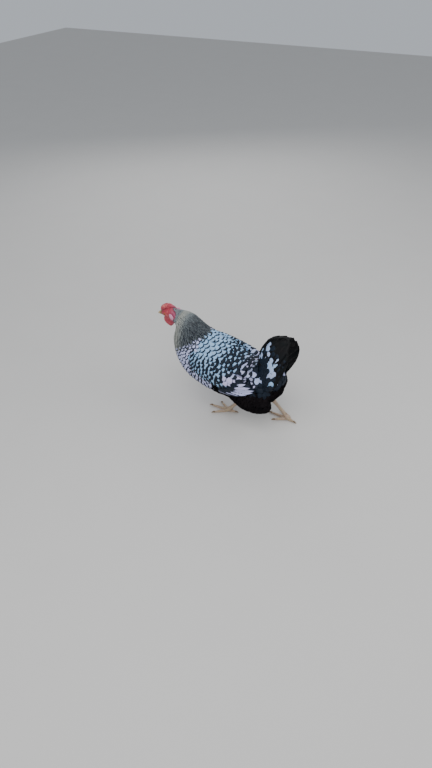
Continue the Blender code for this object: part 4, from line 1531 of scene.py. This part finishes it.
def scuteRows(label):  # place, outwards, along, width and step of each plate on one node
    part, side = label.split("_")[:2]
    step, (first, last), fronts, wider = scuteSet[part]
    tree = treeOf([label])[0]
    spots = pointsOf(frame["nodes"][label].data)
    middle = spots.mean(0)
    run = np.linalg.svd(spots - middle, full_matrices=False)[2][0]
    if part == "toe":  # from the ankle out to the claw
        ankle = np.array(boxMiddle(f"shank_{side}")) * (1, 1, 0)
        run = run * np.sign(run @ (middle - ankle))
    else:
        run = run * -np.sign(run[2])
    reach = (spots - middle) @ run
    length = reach.max() - reach.min()
    count = int(length * (last - first) / step)
    rows = []
    for front in fronts:
        front = np.array(front) - run * (np.array(front) @ run)
        front = front / np.linalg.norm(front)
        across = np.cross(run, front)
        for i in range(count):
            t = first + (last - first) * (i + 0.5) / count
            centre = middle + run * (reach.min() + length * t)
            near = spots[np.abs((spots - centre) @ run) < step * 1.6]
            if len(near) > 2:
                centre = near.mean(0)
            place = tree.ray_cast(Vector(centre + front * 0.03), Vector(-front))[0]
            if place is None:
                continue
            wall = tree.ray_cast(Vector(centre + across * 0.03), Vector(-across))[0]
            usual, most = scuteSet["width"]
            width = 2 * (wall - Vector(centre)).length if wall else usual
            rows.append((np.array(place), front, run, min(width, most) * wider, step))
    return rows


def makeScutes():
    legLie = makeLie("legSurface", legNodes, skinSet["legVoxel"], 3)[0]
    rows = [row for label in legNodes for row in scuteRows(label)]
    at, up, way, width, step = (np.array(column) for column in zip(*rows))
    roots = {
        "place": at - way * step[:, None] * 0.6,
        "outward": up,
        "along": way,
        "size": np.stack([width, step * scuteSet["overlap"], np.ones(len(at))], 1),
        "depth": np.full(len(at), scuteSet["depth"]),
        "lift": np.full(len(at), scuteSet["lift"]),
        "rootPatch": unrolled(at, "leg"),
        "tone": np.random.default_rng(81).random(len(at)),
    }
    inputs = {"Vane Thickness": scuteSet["thickness"], "Camber": 0.0, "Root Curve": 1.0}
    layVanes("legScutes", roots, legLie, scuteSet, **inputs)
    bpy.data.objects.remove(legLie)


makeScutes()


# eyes, bill and claws

def makeEye(label, side):
    middle = boxMiddle(f"eye_{label}")
    turn = eyeTurn(side)
    count, turns = eyeSet["rings"], eyeSet["turns"]
    shape = bmesh.new()
    iris = shape.loops.layers.uv.new("iris")
    rings = []
    for i in range(count + 1):
        a = math.pi * i / count
        swell = 1 + eyeSet["cornea"] * math.exp(-(a / 0.5) ** 2)
        spots = [turn @ onBall(a, math.tau * j / turns, swell) for j in range(turns)]
        rings.append([shape.verts.new(middle + spot * eyeSet["radius"]) for spot in spots])
    for i in range(count):
        for j in range(turns):
            k = (j + 1) % turns
            face = shape.faces.new((rings[i][j], rings[i + 1][j], rings[i + 1][k], rings[i][k]))
            for loop, (ring, step) in zip(face.loops, ((i, j), (i + 1, j), (i + 1, j + 1), (i, j + 1))):
                share = math.pi * ring / count / math.radians(eyeSet["irisHalf"])
                loop[iris].uv = (share * 0.75, step / turns)
    bmesh.ops.remove_doubles(shape, verts=shape.verts, dist=1e-7)
    bmesh.ops.recalc_face_normals(shape, faces=shape.faces)
    eye = linked(bpy.data.objects.new(f"eyeball_{label}", meshFrom(f"eyeball_{label}", shape)))
    dress(eye, paints["eye"])
    ridePiece(eye, "eye", f"eye_{label}")


billSet = {
    "root": (2.2 * cm, 0.2 * cm),  # ahead and up
    "tip": (4.3 * cm, -0.6 * cm),
    "closed": 1.0 * mm,  # how far the lower bill's tip is raised
    "nostril": (2.85 * cm, 0.22 * cm),
    "nostrilSize": (1.5 * mm, 0.75 * mm),
    "nostrilDepth": 0.6 * mm,
    "voxel": 0.35 * mm,
}
clawSet = {"voxel": 0.4 * mm, "fatten": 0.5 * mm, "tone": 4 * mm}


def shapeBill(bill, nodeName):
    places = pointsOf(bill.data)
    left, ahead, up = headPlaces(places).T
    if nodeName == "beak_lower":
        share = np.clip((ahead - billSet["root"][0]) / (1.6 * cm), 0, 1)
        places += np.array(headTurn @ Vector((0, 0, 1))) * (billSet["closed"] * share)[:, None]
    else:
        long, tall = billSet["nostrilSize"]
        gap = ((ahead - billSet["nostril"][0]) / long) ** 2 + ((up - billSet["nostril"][1]) / tall) ** 2
        inwards = -np.sign(left) * np.clip(1 - gap, 0, 1) ** 0.7 * billSet["nostrilDepth"]
        inwards = inwards * (np.abs(left) > 0.15 * cm)
        places += np.array(headTurn @ Vector((1, 0, 0))) * inwards[:, None]
    movePoints(bill.data, places)


def makeHorn():
    ahead = headTurn @ Vector((0, -1, 0))
    tip = headPoint(0, *billSet["tip"])
    root = headPoint(0, *billSet["root"])
    billPaint = hornPaint("billHorn", ahead, (tip - root).length, root.dot(ahead))
    for nodeName in ("beak_upper", "beak_lower"):
        bill = melted(f"{nodeName}_horn", sewn([nodeName], 0.08 * mm), billSet["voxel"], 4)
        shapeBill(bill, nodeName)
        dress(bill, billPaint)
        ridePiece(bill, "horn", nodeName)
    claws = melted("claws", sewn(clawNodes, clawSet["fatten"]), clawSet["voxel"], 8)
    dress(claws, hornPaint("clawHorn", Vector((0, 0, -1)), clawSet["tone"], -clawSet["tone"]))
    ridePiece(claws, "horn", *clawNodes)


for sideName, sideSign in sides.items():
    makeEye(sideName, sideSign)
makeHorn()
print("eyes, bill and claws made")

ridePiece(skin, "red_skin", *bodyNodes, *headNodes, *legNodes)
for spare in [lie] + [thing for group in patterns.values() for thing in group.objects]:
    bpy.data.objects.remove(spare)
